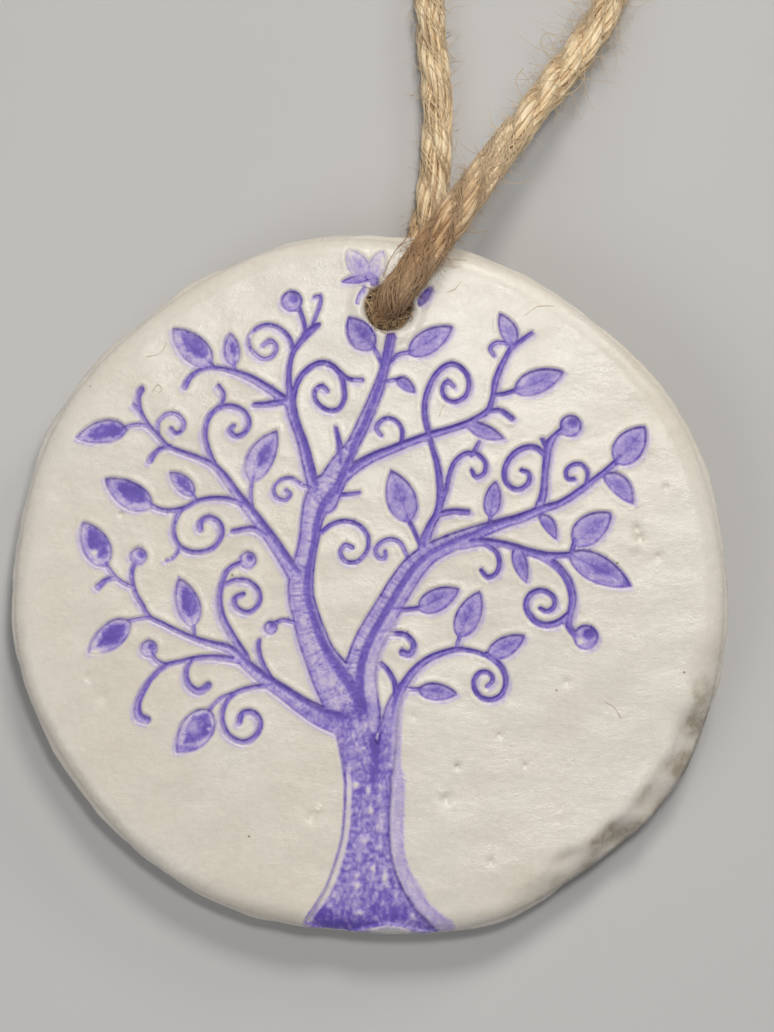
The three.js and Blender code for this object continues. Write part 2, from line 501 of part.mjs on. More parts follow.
// The two cut ends leave the knot side by side and spread apart as they come down. Their places are
// [out to the side, on, up] from the middle of the knot.
function twineTail(side) {
  const root = knotSize.y / 2 + touchGap;
  const places = [[2.1, root, -1.4], [3.6, root + tailLength / 2, -2.3], [5.8, root + tailLength, -2.3]]
    .map(([out, on, up]) => new THREE.Vector3(side * out, on, up).add(knotCentre));
  return twineTube(places, tailSteps);
}

function twineKnot() {
  const geometry = new THREE.IcosahedronGeometry(0.5, 3);
  geometry.scale(knotSize.x, knotSize.y, knotSize.z);
  geometry.translate(knotCentre.x, knotCentre.y, knotCentre.z);
  return geometry;
}

// ---- The object ----

const inkLow = thickness - printDepth + inkGap;
const inkHigh = inkLow + inkThickness;

const disc = namedMesh("clay_disc", clayDisc(), clay);
const tablet = new THREE.Group();
tablet.add(disc);
tablet.add(namedMesh("tree_ink", toGeometry(treeSolid(inkLow, inkHigh, 0)), ink));
tablet.add(namedMesh("treetop_ink", toGeometry(treetopSolid(inkLow, inkHigh, 0)), ink));
tablet.add(namedMesh("rim_leaf_ink", toGeometry(rimLeafSolid(inkLow, inkHigh, 0)), ink));
const tiltAxis = new THREE.Vector3(-Math.sin(lowestRim), Math.cos(lowestRim), 0);
tablet.quaternion.setFromAxisAngle(tiltAxis, tilt);

// The tablet's box rests on z = 0, with its middle over the origin.
tablet.updateMatrixWorld(true);
const box = new THREE.Box3().setFromObject(disc, true);
const middle = box.getCenter(new THREE.Vector3());
tablet.position.set(-middle.x, -middle.y, -box.min.z);

const group = new THREE.Group();
group.add(tablet);
group.add(namedMesh("twine_loop", twineTube(twineRoute, loopSteps), jute));
group.add(namedMesh("twine_knot", twineKnot(), jute));
group.add(namedMesh("twine_tail_left", twineTail(-1), jute));
group.add(namedMesh("twine_tail_right", twineTail(1), jute));

export default group;
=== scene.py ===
import json
import math

import bpy
import numpy as np
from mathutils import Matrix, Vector
from mathutils.geometry import delaunay_2d_cdt


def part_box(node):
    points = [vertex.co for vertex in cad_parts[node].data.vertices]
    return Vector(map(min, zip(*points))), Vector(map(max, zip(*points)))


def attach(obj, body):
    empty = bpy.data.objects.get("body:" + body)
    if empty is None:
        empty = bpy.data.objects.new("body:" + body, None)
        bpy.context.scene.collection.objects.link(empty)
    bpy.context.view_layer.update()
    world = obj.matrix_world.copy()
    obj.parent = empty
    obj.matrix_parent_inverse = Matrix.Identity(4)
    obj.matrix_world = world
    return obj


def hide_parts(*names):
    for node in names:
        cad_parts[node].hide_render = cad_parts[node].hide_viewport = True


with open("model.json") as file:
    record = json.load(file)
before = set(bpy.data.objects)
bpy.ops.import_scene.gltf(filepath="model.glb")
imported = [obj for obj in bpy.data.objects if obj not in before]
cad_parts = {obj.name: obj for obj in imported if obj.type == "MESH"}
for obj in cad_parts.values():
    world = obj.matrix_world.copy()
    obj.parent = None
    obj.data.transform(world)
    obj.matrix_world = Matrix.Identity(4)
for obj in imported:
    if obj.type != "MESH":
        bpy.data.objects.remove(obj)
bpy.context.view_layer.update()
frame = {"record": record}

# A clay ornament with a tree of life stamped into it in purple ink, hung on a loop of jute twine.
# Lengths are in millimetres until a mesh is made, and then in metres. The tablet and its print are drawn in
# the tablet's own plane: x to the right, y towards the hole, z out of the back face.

MM = 0.001

# ---- Driving dimensions ----

THICKNESS = 7
HOLE = np.array([1.85, 29.4])
HOLE_RADIUS = 2.45
HOLE_LIP = 0.5
PRINT_DEPTH = 0.42
TWINE_RADIUS = 1.75

# The hand-shaped rim: its distance from the middle at every 15 degrees, counted from +x towards +y.
RIM_RADII = np.array([
    37.6, 37.4, 37.4, 36.8, 36.8, 36.8, 37.0, 37.4, 37.1, 37.2, 37.7, 37.7,
    37.9, 38.1, 37.5, 37.4, 37.3, 36.8, 36.7, 37.6, 37.9, 38.5, 39.0, 38.2,
])

# The face rolls over into the side: how wide and how deep the rounded edge is, and how near the rim the
# face's mesh ends and the side's begins.
EDGE_WIDTH = 2.6
EDGE_DEPTH = 2.2
SIDE_START = 0.45

# Below right, fingers pinched the rim into a slope.
PINCH_MIDDLE = math.radians(-38)
PINCH_SPREAD = math.radians(32)
PINCH_REACH = 3.4
PINCH_DROP = 2.1

# Small marks in the face: [x, y, radius, depth], a negative depth being a bump.
MARKS = [
    [9.1, -18.8, 0.22, 0.5], [7.9, -22.2, 0.55, 0.28], [7.6, -21.7, 0.4, -0.12], [28, 6.2, 0.3, 0.3],
    [28.3, 5.2, 0.4, 0.32], [27.7, 4.3, 0.5, -0.12], [13.5, -15.5, 0.2, 0.2], [16.2, -18.7, 0.2, 0.2],
    [30.2, 3.3, 0.25, 0.2], [-6.2, -24, 0.5, 0.16], [-5.6, -23.4, 0.3, -0.08], [-26.2, 7.7, 0.25, 0.25],
    [-19.2, 24, 0.25, 0.2], [31, 10.6, 0.3, 0.15], [25.4, 14.6, 0.3, 0.12], [4.5, -13.6, 0.3, 0.12],
    [-29.6, -9.4, 0.5, 0.12], [-28, -11.6, 0.7, 0.16], [12.6, -28.8, 0.3, 0.2], [20.6, -9.9, 0.3, 0.1],
]

# ---- The print, in the tablet's plane ----

# Limbs off the trunk: points from root to tip, each [x, y, width].
LIMBS = [
    # left main limb
    [[-1.4, -14, 5], [-2.8, -11.4, 5], [-4.3, -9, 4.2], [-5.4, -7, 3.4], [-6.2, -5, 3.2], [-6.8, -3, 2.9],
      [-7.3, -1, 2.8], [-7.3, 1, 2.7], [-6.9, 3, 2.3], [-6.5, 5, 2.2], [-6.2, 7, 2.4], [-5.6, 9, 2.9],
      [-4.7, 10.4, 3.2]],
    # right main limb, out to the leaf at its end
    [[-1.2, -13.4, 4.6], [-1.2, -9.4, 3.6], [-0.8, -7.2, 3.2], [-0.1, -5.4, 3.1], [0.9, -3.6, 3],
      [2.1, -1.6, 2.9], [3.3, 0.4, 2.8], [4.6, 2.2, 2.6], [6.2, 3.6, 2.2], [8.2, 4.6, 2], [10.2, 5.4, 1.8],
      [12, 6.1, 1.5], [14, 6.8, 1.2], [16, 7.4, 1.1], [17.9, 8.2, 1], [20, 8.9, 0.8], [22, 10.2, 0.8],
      [23.6, 11.4, 0.7], [25, 12.5, 0.7], [26.3, 13.7, 0.7]],
    # top limb, up to the hole
    [[-4.9, 9.2, 3], [-3.9, 11.4, 2.8], [-3, 13.2, 2.2], [-1.9, 15, 1.5], [-0.9, 17, 1.5], [0, 19, 1.4],
      [0.8, 21, 1.3], [1.3, 22.6, 1.1], [1.7, 24.2, 1.1], [2.1, 26.3, 1.1]],
    # top limb's branch to the right
    [[-3.4, 11.6, 1.9], [-1.6, 12.7, 1.3], [0.2, 13.7, 1.1], [2.2, 14.5, 1], [4.2, 15.3, 0.9],
      [6.2, 16, 0.9], [8.2, 16.6, 0.8], [10, 17.2, 0.8], [11.3, 17.9, 0.7], [12.3, 18.6, 0.7],
      [12.8, 20, 0.6], [13.1, 21.6, 0.8], [13.6, 23, 0.7], [14.3, 24.4, 0.6], [15, 25.6, 0.5]],
    # left main limb's branch towards the top left, with its fork
    [[-5.5, 9.4, 1.8], [-6.1, 11, 1.4], [-6.6, 13, 1.3], [-7.1, 15, 1.2], [-7.8, 17, 1.1],
      [-8.3, 18.6, 1.2], [-8.4, 20, 1], [-8.6, 21.6, 0.7], [-8.5, 23.4, 0.6], [-8.1, 24.8, 0.6],
      [-7.3, 25.9, 0.7], [-6.6, 26.8, 0.9], [-5.5, 27.6, 0.6]],
    [[-8.3, 19.1, 1.1], [-9.6, 20.1, 1], [-11.2, 21.2, 0.9], [-13, 22.2, 0.8], [-14.8, 22.8, 0.6],
      [-16.4, 23.1, 0.5], [-17.8, 22.9, 0.5], [-18.9, 22.2, 0.6], [-19.5, 21.1, 0.7]],
    # left main limb's branch towards the upper left
    [[-7.2, 0.4, 2.2], [-8.8, 2.6, 1.5], [-10.1, 4.6, 1.4], [-11.4, 6.4, 1.3], [-12.8, 8.2, 1.2],
      [-14.2, 10, 1], [-15.4, 11.7, 0.9], [-16.6, 12.9, 0.7], [-18.3, 13.7, 0.6], [-20, 14.3, 0.55],
      [-21.4, 14.9, 0.55], [-22.4, 16, 0.55], [-23.4, 17.1, 0.5], [-24.2, 18.6, 0.5], [-24.4, 20, 0.6],
      [-24.1, 20.8, 0.8]],
    # lowest branch to the left, and its fork
    [[-2.2, -14.4, 3], [-5, -13.6, 2.3], [-7, -12.5, 1.9], [-9, -11.1, 1.6], [-11, -9.7, 1.4],
      [-13, -8.1, 1.2], [-14.4, -6.7, 1]],
    [[-13.2, -7.6, 1.2], [-15, -6.4, 1], [-17, -5.8, 0.7], [-18.6, -5.3, 0.6], [-20.2, -4.6, 0.5],
      [-21.8, -3.8, 0.5], [-23.3, -3, 0.5], [-24, -1.8, 0.5], [-24.7, -0.6, 0.5], [-25, 0.4, 0.5],
      [-25.1, 1.4, 0.5], [-24.8, 2.6, 0.5]],
    [[-13.4, -7.7, 0.9], [-15.4, -7.4, 0.7], [-17.3, -7.3, 0.6], [-18.8, -7.5, 0.6], [-20.2, -7.8, 0.5],
      [-21.6, -8.2, 0.6], [-22.9, -9.4, 0.6], [-23.9, -10.9, 0.7], [-24.5, -12.4, 0.8], [-24.3, -13.6, 1],
      [-23.5, -13.9, 0.9]],
    # lowest branch to the right
    [[1.2, -19, 2.6], [1.7, -16.5, 2.1], [2, -14, 1.8], [2.5, -12, 1.4], [3.4, -10.3, 1], [4.5, -8.8, 0.9],
      [5.9, -7.6, 0.8], [7.5, -6.9, 0.7], [9.1, -6.5, 0.6], [10.8, -6.7, 0.5], [12.4, -7.2, 0.5]],
    # branches off the right main limb
    [[5.4, 3, 1.4], [5.7, 5, 1.2], [6.3, 6.5, 1], [7, 7.8, 0.9], [7.3, 9.4, 0.9], [7.2, 11.4, 0.8],
      [6.9, 13.2, 0.7], [6.4, 14.9, 0.6], [6.2, 16, 0.6]],
    [[17.5, 8, 1], [18.1, 9.8, 0.9], [18.3, 12, 0.8], [18.5, 13.8, 0.9], [18.7, 15, 1], [19.4, 16, 0.7],
      [20.3, 16.7, 0.7]],
    [[9.4, 4.6, 1.3], [11.4, 4.8, 1], [13.2, 4.7, 0.8], [15, 4.3, 0.8], [16.8, 3.7, 0.9], [18.6, 3.3, 1],
      [20, 3.4, 0.7], [21.2, 3.5, 0.7]],
    [[18.2, 3.2, 0.9], [19.7, 2.1, 0.9], [20.8, 0.5, 0.9], [21.2, -1.3, 0.9], [20.9, -3, 0.8],
      [20.8, -4.1, 0.8], [21.6, -5.1, 0.8]],
]

# Scrolls and twigs: [width at the root, width at the tip, points from root to tip as [x, y]].
SCROLLS = [
    # left of the trunk, from the bottom up
    [0.5, 0.7, [[-10.4, -10.3], [-12.6, -10.5], [-14.3, -11.1], [-15.3, -12.3], [-15.6, -13.9],
      [-14.9, -15.5], [-13.4, -16.2], [-12, -15.5], [-11.6, -14.1], [-12.4, -13.1], [-13.5, -13.2],
      [-13.8, -14.2]]],
    [0.5, 0.9, [[-18.9, -7.6], [-19.4, -8.9], [-19.1, -10.2], [-18.1, -10.9], [-17.1, -10.3]]],
    [0.9, 0.5, [[-13.2, -7.2], [-14.6, -5], [-15.6, -3], [-15.9, -1], [-15.5, 0.8], [-14.9, 2],
      [-13.6, 2.7]]],
    [0.5, 0.6, [[-15.5, 0.3], [-14.2, 0.8], [-12.7, 0.6], [-11.7, -0.5], [-11.8, -1.8], [-12.9, -2.6],
      [-14.1, -2.1], [-14.3, -1.1], [-13.4, -0.7]]],
    [0.45, 0.7, [[-19.7, 8.4], [-20.5, 7.1], [-20.7, 5.8], [-20.2, 4.5], [-19, 3.8], [-17.5, 3.8],
      [-16.2, 4.5], [-15.6, 5.8], [-16, 6.9], [-17, 7.4], [-17.9, 6.9], [-17.9, 6.1]]],
    [0.4, 0.5, [[-22.3, 15.8], [-22.3, 17.3], [-21.5, 18.2], [-20.4, 18.2], [-19.6, 17.3], [-19.8, 16.5],
      [-20.5, 16.2], [-21, 16.7]]],
    [0.6, 0.6, [[-16.3, 12.7], [-17, 14.3], [-17.4, 16], [-17.1, 17.6], [-16.3, 18.7], [-15.2, 19.1],
      [-14, 18.9], [-13, 18.1], [-12.8, 17], [-13.3, 16.2], [-14.2, 15.9], [-14.8, 16.5], [-14.4, 17]]],
    [0.35, 0.4, [[-5.6, 10.2], [-7.2, 10.8], [-8.3, 11.5], [-9.5, 11.3], [-10.2, 10.3], [-9.8, 9.4],
      [-8.9, 9.2], [-8.4, 9.8], [-8.9, 10.2]]],
    [0.5, 0.45, [[-8.1, 24.8], [-8.6, 26.3], [-9.7, 27.3], [-11.1, 27.6], [-12.3, 27], [-12.8, 25.8],
      [-12.3, 24.7], [-11.2, 24], [-10.2, 24.4], [-9.9, 25.3], [-10.6, 26], [-11.3, 25.4]]],
    [0.7, 0.45, [[-8.2, 19.6], [-7.8, 21.3], [-6.8, 22.8], [-5.4, 23.6], [-4.2, 23.4], [-3.2, 22.4],
      [-2.8, 21], [-2.8, 19.7], [-3.5, 18.7], [-4.7, 18.7], [-5.8, 19.7], [-5.8, 20.8], [-5.1, 21.2],
      [-4.5, 20.6]]],
    # between the two main limbs
    [0.5, 0.45, [[-5.2, 5.8], [-4.2, 6.6], [-2.8, 7], [-1.3, 6.6], [-0.3, 5.4], [-0.4, 3.9], [-1.5, 2.7],
      [-2.7, 2.8], [-3.2, 3.8], [-2.7, 4.5], [-1.9, 4.2]]],
    [0.45, 0.45, [[4.2, 2.4], [3.6, 3.7], [3.1, 4.7], [2.1, 5.1], [1, 4.7], [0.5, 3.9], [0.8, 3.1],
      [1.5, 3.1], [1.5, 3.8]]],
    # right of the trunk
    [0.5, 0.45, [[3.1, 14.8], [3.3, 16.3], [2.8, 17.4], [1.8, 17.8], [0.9, 17.4], [0.6, 16.6], [1.1, 16]]],
    [0.7, 0.45, [[6.2, 15.8], [5.7, 17.8], [5.7, 19.6], [6.3, 21.5], [7.3, 22.9], [8.5, 23.5], [9.7, 22.9],
      [10.3, 21.6], [10, 20.2], [8.9, 19.5], [7.8, 19.9], [7.5, 21], [8.1, 21.7], [8.7, 21.1]]],
    [0.45, 0.45, [[15.1, 25.3], [14, 25.7], [13.1, 25.7], [12.5, 25.1], [12.9, 24.4]]],
    [0.6, 0.5, [[7.2, 8.4], [7.9, 10.2], [8.3, 12], [8.9, 13.3], [10, 14.1], [11.2, 14], [12, 13.1],
      [11.9, 12], [11, 11.6], [10.6, 12.3]]],
    [0.7, 0.5, [[18.5, 13.8], [17.3, 14.7], [15.9, 14.6], [14.6, 13.6], [14, 12.1], [14.3, 10.9],
      [15.4, 10.3], [16.5, 10.9], [16.6, 12], [15.8, 12.3]]],
    [0.5, 0.5, [[22.5, 10.5], [22.8, 12], [22.2, 12.9], [21.2, 12.9], [20.5, 12.2], [20.7, 11.4],
      [21.4, 11.4]]],
    [0.8, 0.5, [[20.9, -2.8], [19.6, -3.7], [18.2, -3.9], [16.9, -3.2], [16.3, -1.9], [16.8, -0.7],
      [18, -0.3], [19.1, -0.9], [19.3, -1.9], [18.6, -2.5], [17.8, -2.2]]],
    [0.6, 0.5, [[12, 4.6], [13.2, 3.7], [13.5, 2.5], [13.1, 1.4], [12.2, 1.1], [11.6, 1.8]]],
    [0.5, 0.8, [[0.8, -4.7], [2.4, -4.8], [3.7, -5], [4.5, -6], [4.1, -7], [3.3, -6.8]]],
    [0.7, 0.45, [[12.2, -7], [13.6, -8.2], [14.2, -9.8], [13.7, -11.3], [12.4, -11.8], [11.2, -11.2],
      [10.8, -9.9], [11.5, -8.9], [12.5, -9], [12.8, -9.8], [12.2, -10.4]]],
]

TWIGS = [
    # left
    [0.6, 0.5, [[-10.3, -9.9], [-11.4, -7.9], [-11.8, -6.4], [-11.7, -5.5]]],
    [0.4, 0.5, [[-7.8, -3.8], [-9.2, -3.4], [-10.2, -3.8]]],
    [0.4, 0.5, [[-21.4, -8.1], [-22.5, -7.7], [-23.1, -6.8]]],
    [0.4, 0.4, [[-14.2, -11], [-15.9, -11.7], [-17.1, -13.1]]],
    [0.4, 0.4, [[-18.5, -5.4], [-18.6, -4.1]]],
    [0.4, 0.4, [[-23.2, -3.1], [-24.4, -3.3], [-25.6, -3.5]]],
    [0.4, 0.4, [[-24.9, 0], [-26, 0.5], [-26.9, 1.2], [-27.9, 2.6]]],
    [0.4, 0.8, [[-26.7, 1], [-27.8, 0.8], [-28.6, 0.1]]],
    [0.7, 0.6, [[-11, 5.4], [-12.4, 6.2], [-14.5, 5.9]]],
    [0.35, 0.3, [[-20.1, 4.5], [-20.5, 3.3], [-21.5, 2.8]]],
    [0.45, 0.4, [[-12.3, 7.6], [-12.6, 9.6], [-12.4, 11.6]]],
    [0.6, 0.45, [[-12.6, 8.1], [-13.6, 8.8], [-15, 9.3], [-16.6, 9.4], [-18.2, 9.1], [-19.6, 8.4],
      [-21.2, 8.1], [-22.6, 8.4], [-23.5, 9.1]]],
    [0.4, 0.4, [[-18.2, 9], [-18.9, 10]]],
    [0.4, 0.7, [[-21, 14.9], [-22.4, 14.4], [-23.2, 13.3]]],
    [0.4, 0.4, [[-23.4, 17], [-24.9, 17.1], [-26.2, 16.7]]],
    [0.4, 0.4, [[-24, 18.1], [-24.9, 19.2]]],
    [0.5, 0.5, [[-15.9, 18.8], [-15.4, 20.2], [-16, 21.2]]],
    [0.8, 0.6, [[-9, 19.6], [-10.6, 19.3], [-12.2, 19.2]]],
    [0.45, 0.45, [[-14.3, 22.8], [-14.4, 23.8]]],
    [0.45, 0.5, [[-16.3, 23], [-17.1, 23.7]]],
    [0.5, 0.5, [[-6.8, 26.5], [-7, 27.8], [-7.5, 29.3]]],
    [0.4, 0.4, [[-6.3, 27], [-5.8, 28.4], [-5.3, 29.7], [-5.3, 30.6], [-5.9, 30.5]]],
    [0.5, 0.5, [[-3.3, 22.7], [-2.3, 21.9], [-0.9, 21.8]]],
    # centre
    [0.8, 0.4, [[-3.2, 12.8], [-3.3, 15.2], [-3.7, 16.9]]],
    [0.6, 0.35, [[-3.9, 9.8], [-2.4, 9.8], [-1.1, 10]]],
    [0.5, 0.45, [[1.5, 22.7], [0.8, 24.3], [0.1, 25.6]]],
    [0.5, 0.45, [[1.6, 23.2], [2.8, 24.4], [4.4, 24.8]]],
    [0.4, 0.4, [[1, 21.5], [2.4, 21.8], [3.2, 21.8]]],
    # right
    [0.5, 0.7, [[12.2, 18.5], [13.6, 18.6], [14.8, 17.8]]],
    [0.5, 0.5, [[12.8, 20.2], [14.2, 20.4], [15.6, 20.9]]],
    [0.5, 0.5, [[14.8, 25.1], [16, 26.1], [16.9, 26.7]]],
    [0.5, 0.5, [[5.3, 4.2], [4.5, 6], [3.8, 7.4]]],
    [0.7, 0.7, [[6.9, 7.6], [8.6, 8], [10.2, 7.9]]],
    [0.5, 0.45, [[10.6, 13.9], [11.4, 15.3]]],
    [0.45, 0.45, [[12.4, 6.4], [12.6, 7.7]]],
    [0.6, 0.5, [[18.5, 14.6], [18, 15.6]]],
    [0.6, 0.6, [[21, 3.4], [21.5, 5]]],
    [0.6, 0.5, [[2.2, -2.4], [4, -2.3], [5.3, -2.1]]],
    [0.45, 0.45, [[8.9, -6.6], [9.4, -5]]],
    [0.45, 0.45, [[3.2, -10.5], [4.4, -10.7], [5.4, -10.6]]],
    [0.7, 0.45, [[2.6, -12], [2.5, -10], [1.8, -8.7], [1, -7.9]]],
]

# Leaves: [base, tip, width, bow], the bow being how far the whole leaf bulges to the left of base-to-tip.
LEAVES = [
    # left, from the bottom up
    [[-16.8, -12.8], [-20.4, -17.4], 3.5, 0.2],
    [[-25.3, -3.4], [-29.7, -6.9], 2.8, 0.1],
    [[-18.6, -4.2], [-20.2, 1.1], 2.6, -0.2],
    [[-27.8, 2.2], [-30.3, 7], 3, -0.1],
    [[-22.9, 8.5], [-28, 11.5], 2.9, 0.2],
    [[-18.6, 9.6], [-21.2, 12.2], 1.8, -0.2],
    [[-25.5, 16.6], [-31, 15.7], 2.5, -0.3],
    [[-12.6, 11.1], [-9.8, 16.6], 2.9, 0.3],
    [[-16.7, 23.3], [-20.9, 27.3], 2.9, 0],
    [[-14.4, 23.2], [-14.8, 26.9], 1.8, 0],
    # beside the hole
    [[0.3, 25], [-2.4, 28.5], 2.8, 0.2],
    [[3.9, 24.5], [8.7, 27.5], 2.6, 0],
    [[2.6, 22], [4.7, 20.4], 1.3, 0.2],
    # right, from the top down
    [[15, 25.3], [13.5, 28.9], 1.9, -0.2],
    [[15, 20.6], [20.4, 22.7], 2.6, 0.1],
    [[10, 17.3], [14.1, 15.6], 1.6, -0.1],
    [[25.7, 13], [28.9, 17], 3.2, 0],
    [[24.4, 11.9], [27.6, 8.7], 2.1, 0.6],
    [[12.5, 7.3], [13.1, 11.3], 1.9, 0],
    [[4.1, 6.8], [2.1, 12.4], 3.2, 0],
    [[17.6, 7.7], [19.5, 5], 1.4, 0.4],
    [[21.2, 4.5], [25.4, 7.9], 3.1, 0.2],
    [[20.8, 3.6], [27.4, 0.1], 3, 0],
    [[15.2, 4.4], [16.4, 0.4], 1.6, -0.1],
    [[4.9, -2.3], [9.4, -0.1], 2.5, 0],
    [[9.2, -5.3], [11.5, -0.3], 2.7, 0],
    [[12.2, -7.3], [16.3, -5], 2.2, 0],
    [[4.9, -10.7], [9.2, -11.2], 1.9, 0],
]

# Berries: [x, y, radius].
BERRIES = [
    [-23.3, -6.4, 0.95],
    [-24.4, 3.3, 0.95],
    [-12.9, 2.9, 0.95],
    [-10.5, -4.2, 0.75],
    [-8.3, 30.1, 1.15],
    [21, 17, 1.2],
    [22.6, -5.2, 1.35],
]

# The top of the tree, above the hole, and one leaf beside it.
TREETOP_LEAVES = [
    [[-0.3, 32.6], [-2.5, 35.6], 2.2, 0.1],
    [[0.3, 32.4], [1.3, 35.5], 1.8, 0.1],
    [[-0.1, 32.3], [-3.2, 32.1], 0.9, -0.2],
]
TREETOP_STALK = [0.8, 0.9, [[0.1, 32.8], [0.4, 32.2]]]
RIM_LEAF = [[5, 29.6], [6.5, 31.7], 1, 0]

# ---- Where the tablet lies ----

MOUNT = frame["record"]["mounts"][0]
BACK = np.array(MOUNT["pos_m"])
FACE_OUT = -Vector(MOUNT["axis"])
TURN = np.array(Vector((0, 0, 1)).rotation_difference(FACE_OUT).to_matrix())


def tablet_to_world(places):
    """From the tablet's own millimetres to metres in the row's frame."""
    return np.asarray(places, float) @ TURN.T * MM + BACK


def world_to_tablet(places):
    """From metres in the row's frame to the tablet's own millimetres."""
    return (np.asarray(places, float) - BACK) @ TURN / MM


# ---- Camera: straight down on the printed face ----

VIEW_MIDDLE = (1.7, 7.5, THICKNESS)
VIEW_HEIGHT = 108.4
CAMERA_DISTANCE = 320
SENSOR = 36


def add_camera():
    data = bpy.data.cameras.new("camera")
    data.sensor_width = SENSOR
    data.lens = SENSOR * CAMERA_DISTANCE / VIEW_HEIGHT
    data.clip_start = 0.01
    data.clip_end = 10
    camera = bpy.data.objects.new("camera", data)
    bpy.context.scene.collection.objects.link(camera)
    x, y, z = VIEW_MIDDLE
    camera.location = tablet_to_world([x, y, z + CAMERA_DISTANCE])
    camera.rotation_euler = Vector((0, 0, 1)).rotation_difference(FACE_OUT).to_euler()
    bpy.context.scene.camera = camera


add_camera()

# ---- Small helpers ----


def ease(value):
    """0 below 0, 1 above 1, and smooth in between."""
    value = np.clip(value, 0, 1)
    return value * value * (3 - 2 * value)


def bell(value):
    return np.exp(-value * value)


def smooth(points, step):
    """Points about every step along the smooth curve through the given ones."""
    given = np.asarray(points, float)
    given = np.vstack([2 * given[0] - given[1], given, 2 * given[-1] - given[-2]])
    found = []
    for p0, p1, p2, p3 in zip(given, given[1:], given[2:], given[3:]):
        t1 = np.linalg.norm(p1 - p0) ** 0.5
        t2 = t1 + np.linalg.norm(p2 - p1) ** 0.5
        t3 = t2 + np.linalg.norm(p3 - p2) ** 0.5
        count = max(1, math.ceil(np.linalg.norm(p2 - p1) / step))
        t = np.linspace(t1, t2, count, endpoint=False)[:, None]
        a1 = ((t1 - t) * p0 + t * p1) / t1
        a2 = ((t2 - t) * p1 + (t - t1) * p2) / (t2 - t1)
        a3 = ((t3 - t) * p2 + (t - t2) * p3) / (t3 - t2)
        b1 = ((t2 - t) * a1 + t * a2) / t2
        b2 = ((t3 - t) * a2 + (t - t1) * a3) / (t3 - t1)
        found.append(((t2 - t) * b1 + (t - t1) * b2) / (t2 - t1))
    return np.vstack([*found, given[-2][None]])


def waves(places, wavelength, seed, count=12):
    """Smooth random hills, from about -1 to 1, at rows of x and y (and z)."""
    rng = np.random.default_rng(seed)
    places = np.asarray(places, float)
    total = np.zeros(len(places))
    for _ in range(count):
        way = rng.normal(size=places.shape[1])
        way *= rng.uniform(0.6, 1.5) / np.linalg.norm(way)
        total += np.sin(places @ way * math.tau / wavelength + rng.uniform(0, math.tau))
    return total / math.sqrt(count)


def make_mesh(name, places, faces, attributes=None):
    """A smooth-shaded mesh object from metres, with its point attributes."""
    mesh = bpy.data.meshes.new(name)
    mesh.from_pydata(np.asarray(places).tolist(), [], faces)
    mesh.update()
    mesh.polygons.foreach_set("use_smooth", np.ones(len(mesh.polygons), bool))
    for key, values in (attributes or {}).items():
        values = np.asarray(values, np.float32)
        if values.ndim == 1:
            mesh.attributes.new(key, "FLOAT", "POINT").data.foreach_set("value", values)
        else:
            mesh.attributes.new(key, "FLOAT_VECTOR", "POINT").data.foreach_set("vector", values.ravel())
    made = bpy.data.objects.new(name, mesh)
    bpy.context.scene.collection.objects.link(made)
    return made


# A stub of the print beside the hole, which the ink film only touches.
STUB = [0.5, 0.4, [[-0.7, 31.3], [-1.2, 30.6], [-1.4, 29.9]]]

# The print stood a little loose and left a pale second edge beside the trunk: [x, y, width].
GHOSTS = [
    [[2.9, -12, 0.8], [2.3, -16, 0.9], [2.5, -19, 1], [2.9, -20.5, 1], [2.8, -23, 0.9], [2.7, -26, 0.9],
      [3, -28.4, 1], [3.9, -31, 1.2], [5.1, -33, 1.4], [6.9, -34.9, 1.6], [7.9, -35.7, 1.8]],
]
GHOST_EDGE = [0.3, 0.35, [[3.2, -12], [3, -16], [3.1, -19], [3.4, -21], [3.3, -24], [3.3, -27], [3.7, -29],
  [4.9, -31.6], [6.3, -33.6], [8.6, -35.8]]]
# Beside the right main limb and its lowest branch the stamp only brushed the clay: [x, y, width].
PALE_BANDS = [
    [[0.3, -15, 0.7], [0.1, -12, 1.2], [0.1, -10, 1.3], [0.5, -7.8, 1.1], [1.5, -5.7, 0.9],
      [2.7, -3.6, 0.7]],
    [[2.7, -19.5, 0.8], [2.5, -16.5, 0.8], [2.7, -14, 0.8], [3.1, -12.3, 0.7], [4, -10.8, 0.5]],
]
# The crisp lines along the trunk, as [width at the first point, width at the last, points].
OUTLINES = [
    [0.14, 0.14, [[-6.9, -34.9], [-5, -32], [-4.5, -31], [-4, -29.6], [-3.5, -28], [-3.1, -26.5],
      [-2.9, -25], [-2.75, -22.5], [-2.7, -21], [-2.8, -19]]],
    [0.3, 0.24, [[1.5, -19], [2, -20.5], [2, -22], [1.8, -24], [1.8, -26], [2, -28], [2.3, -29.7],
      [3, -31.3], [4, -33], [5.2, -34.5], [6.8, -36]]],
]

# The trunk's whole outline, from its left root up, across the fork and down to its right root.
TRUNK = [
    [-7, -35.2], [-5.2, -32.4], [-4.6, -31.2], [-4, -29.6], [-3.5, -28], [-3.1, -26.5], [-2.9, -25],
    [-2.75, -22.5], [-2.75, -20.5], [-3, -18.5], [-3.6, -15.5], [-3.8, -13], [-0.7, -13], [0.1, -14.9],
    [0.7, -16.2], [2, -17], [2.1, -19], [2.2, -21], [2, -24], [2, -26], [2.2, -28], [2.7, -30], [3.6, -32],
    [5, -34], [7.3, -36.4], [4.8, -36.2], [3.2, -35.7], [1.7, -35.5], [0.2, -35.8], [-1.6, -36.3],
    [-4.6, -36.5],
]

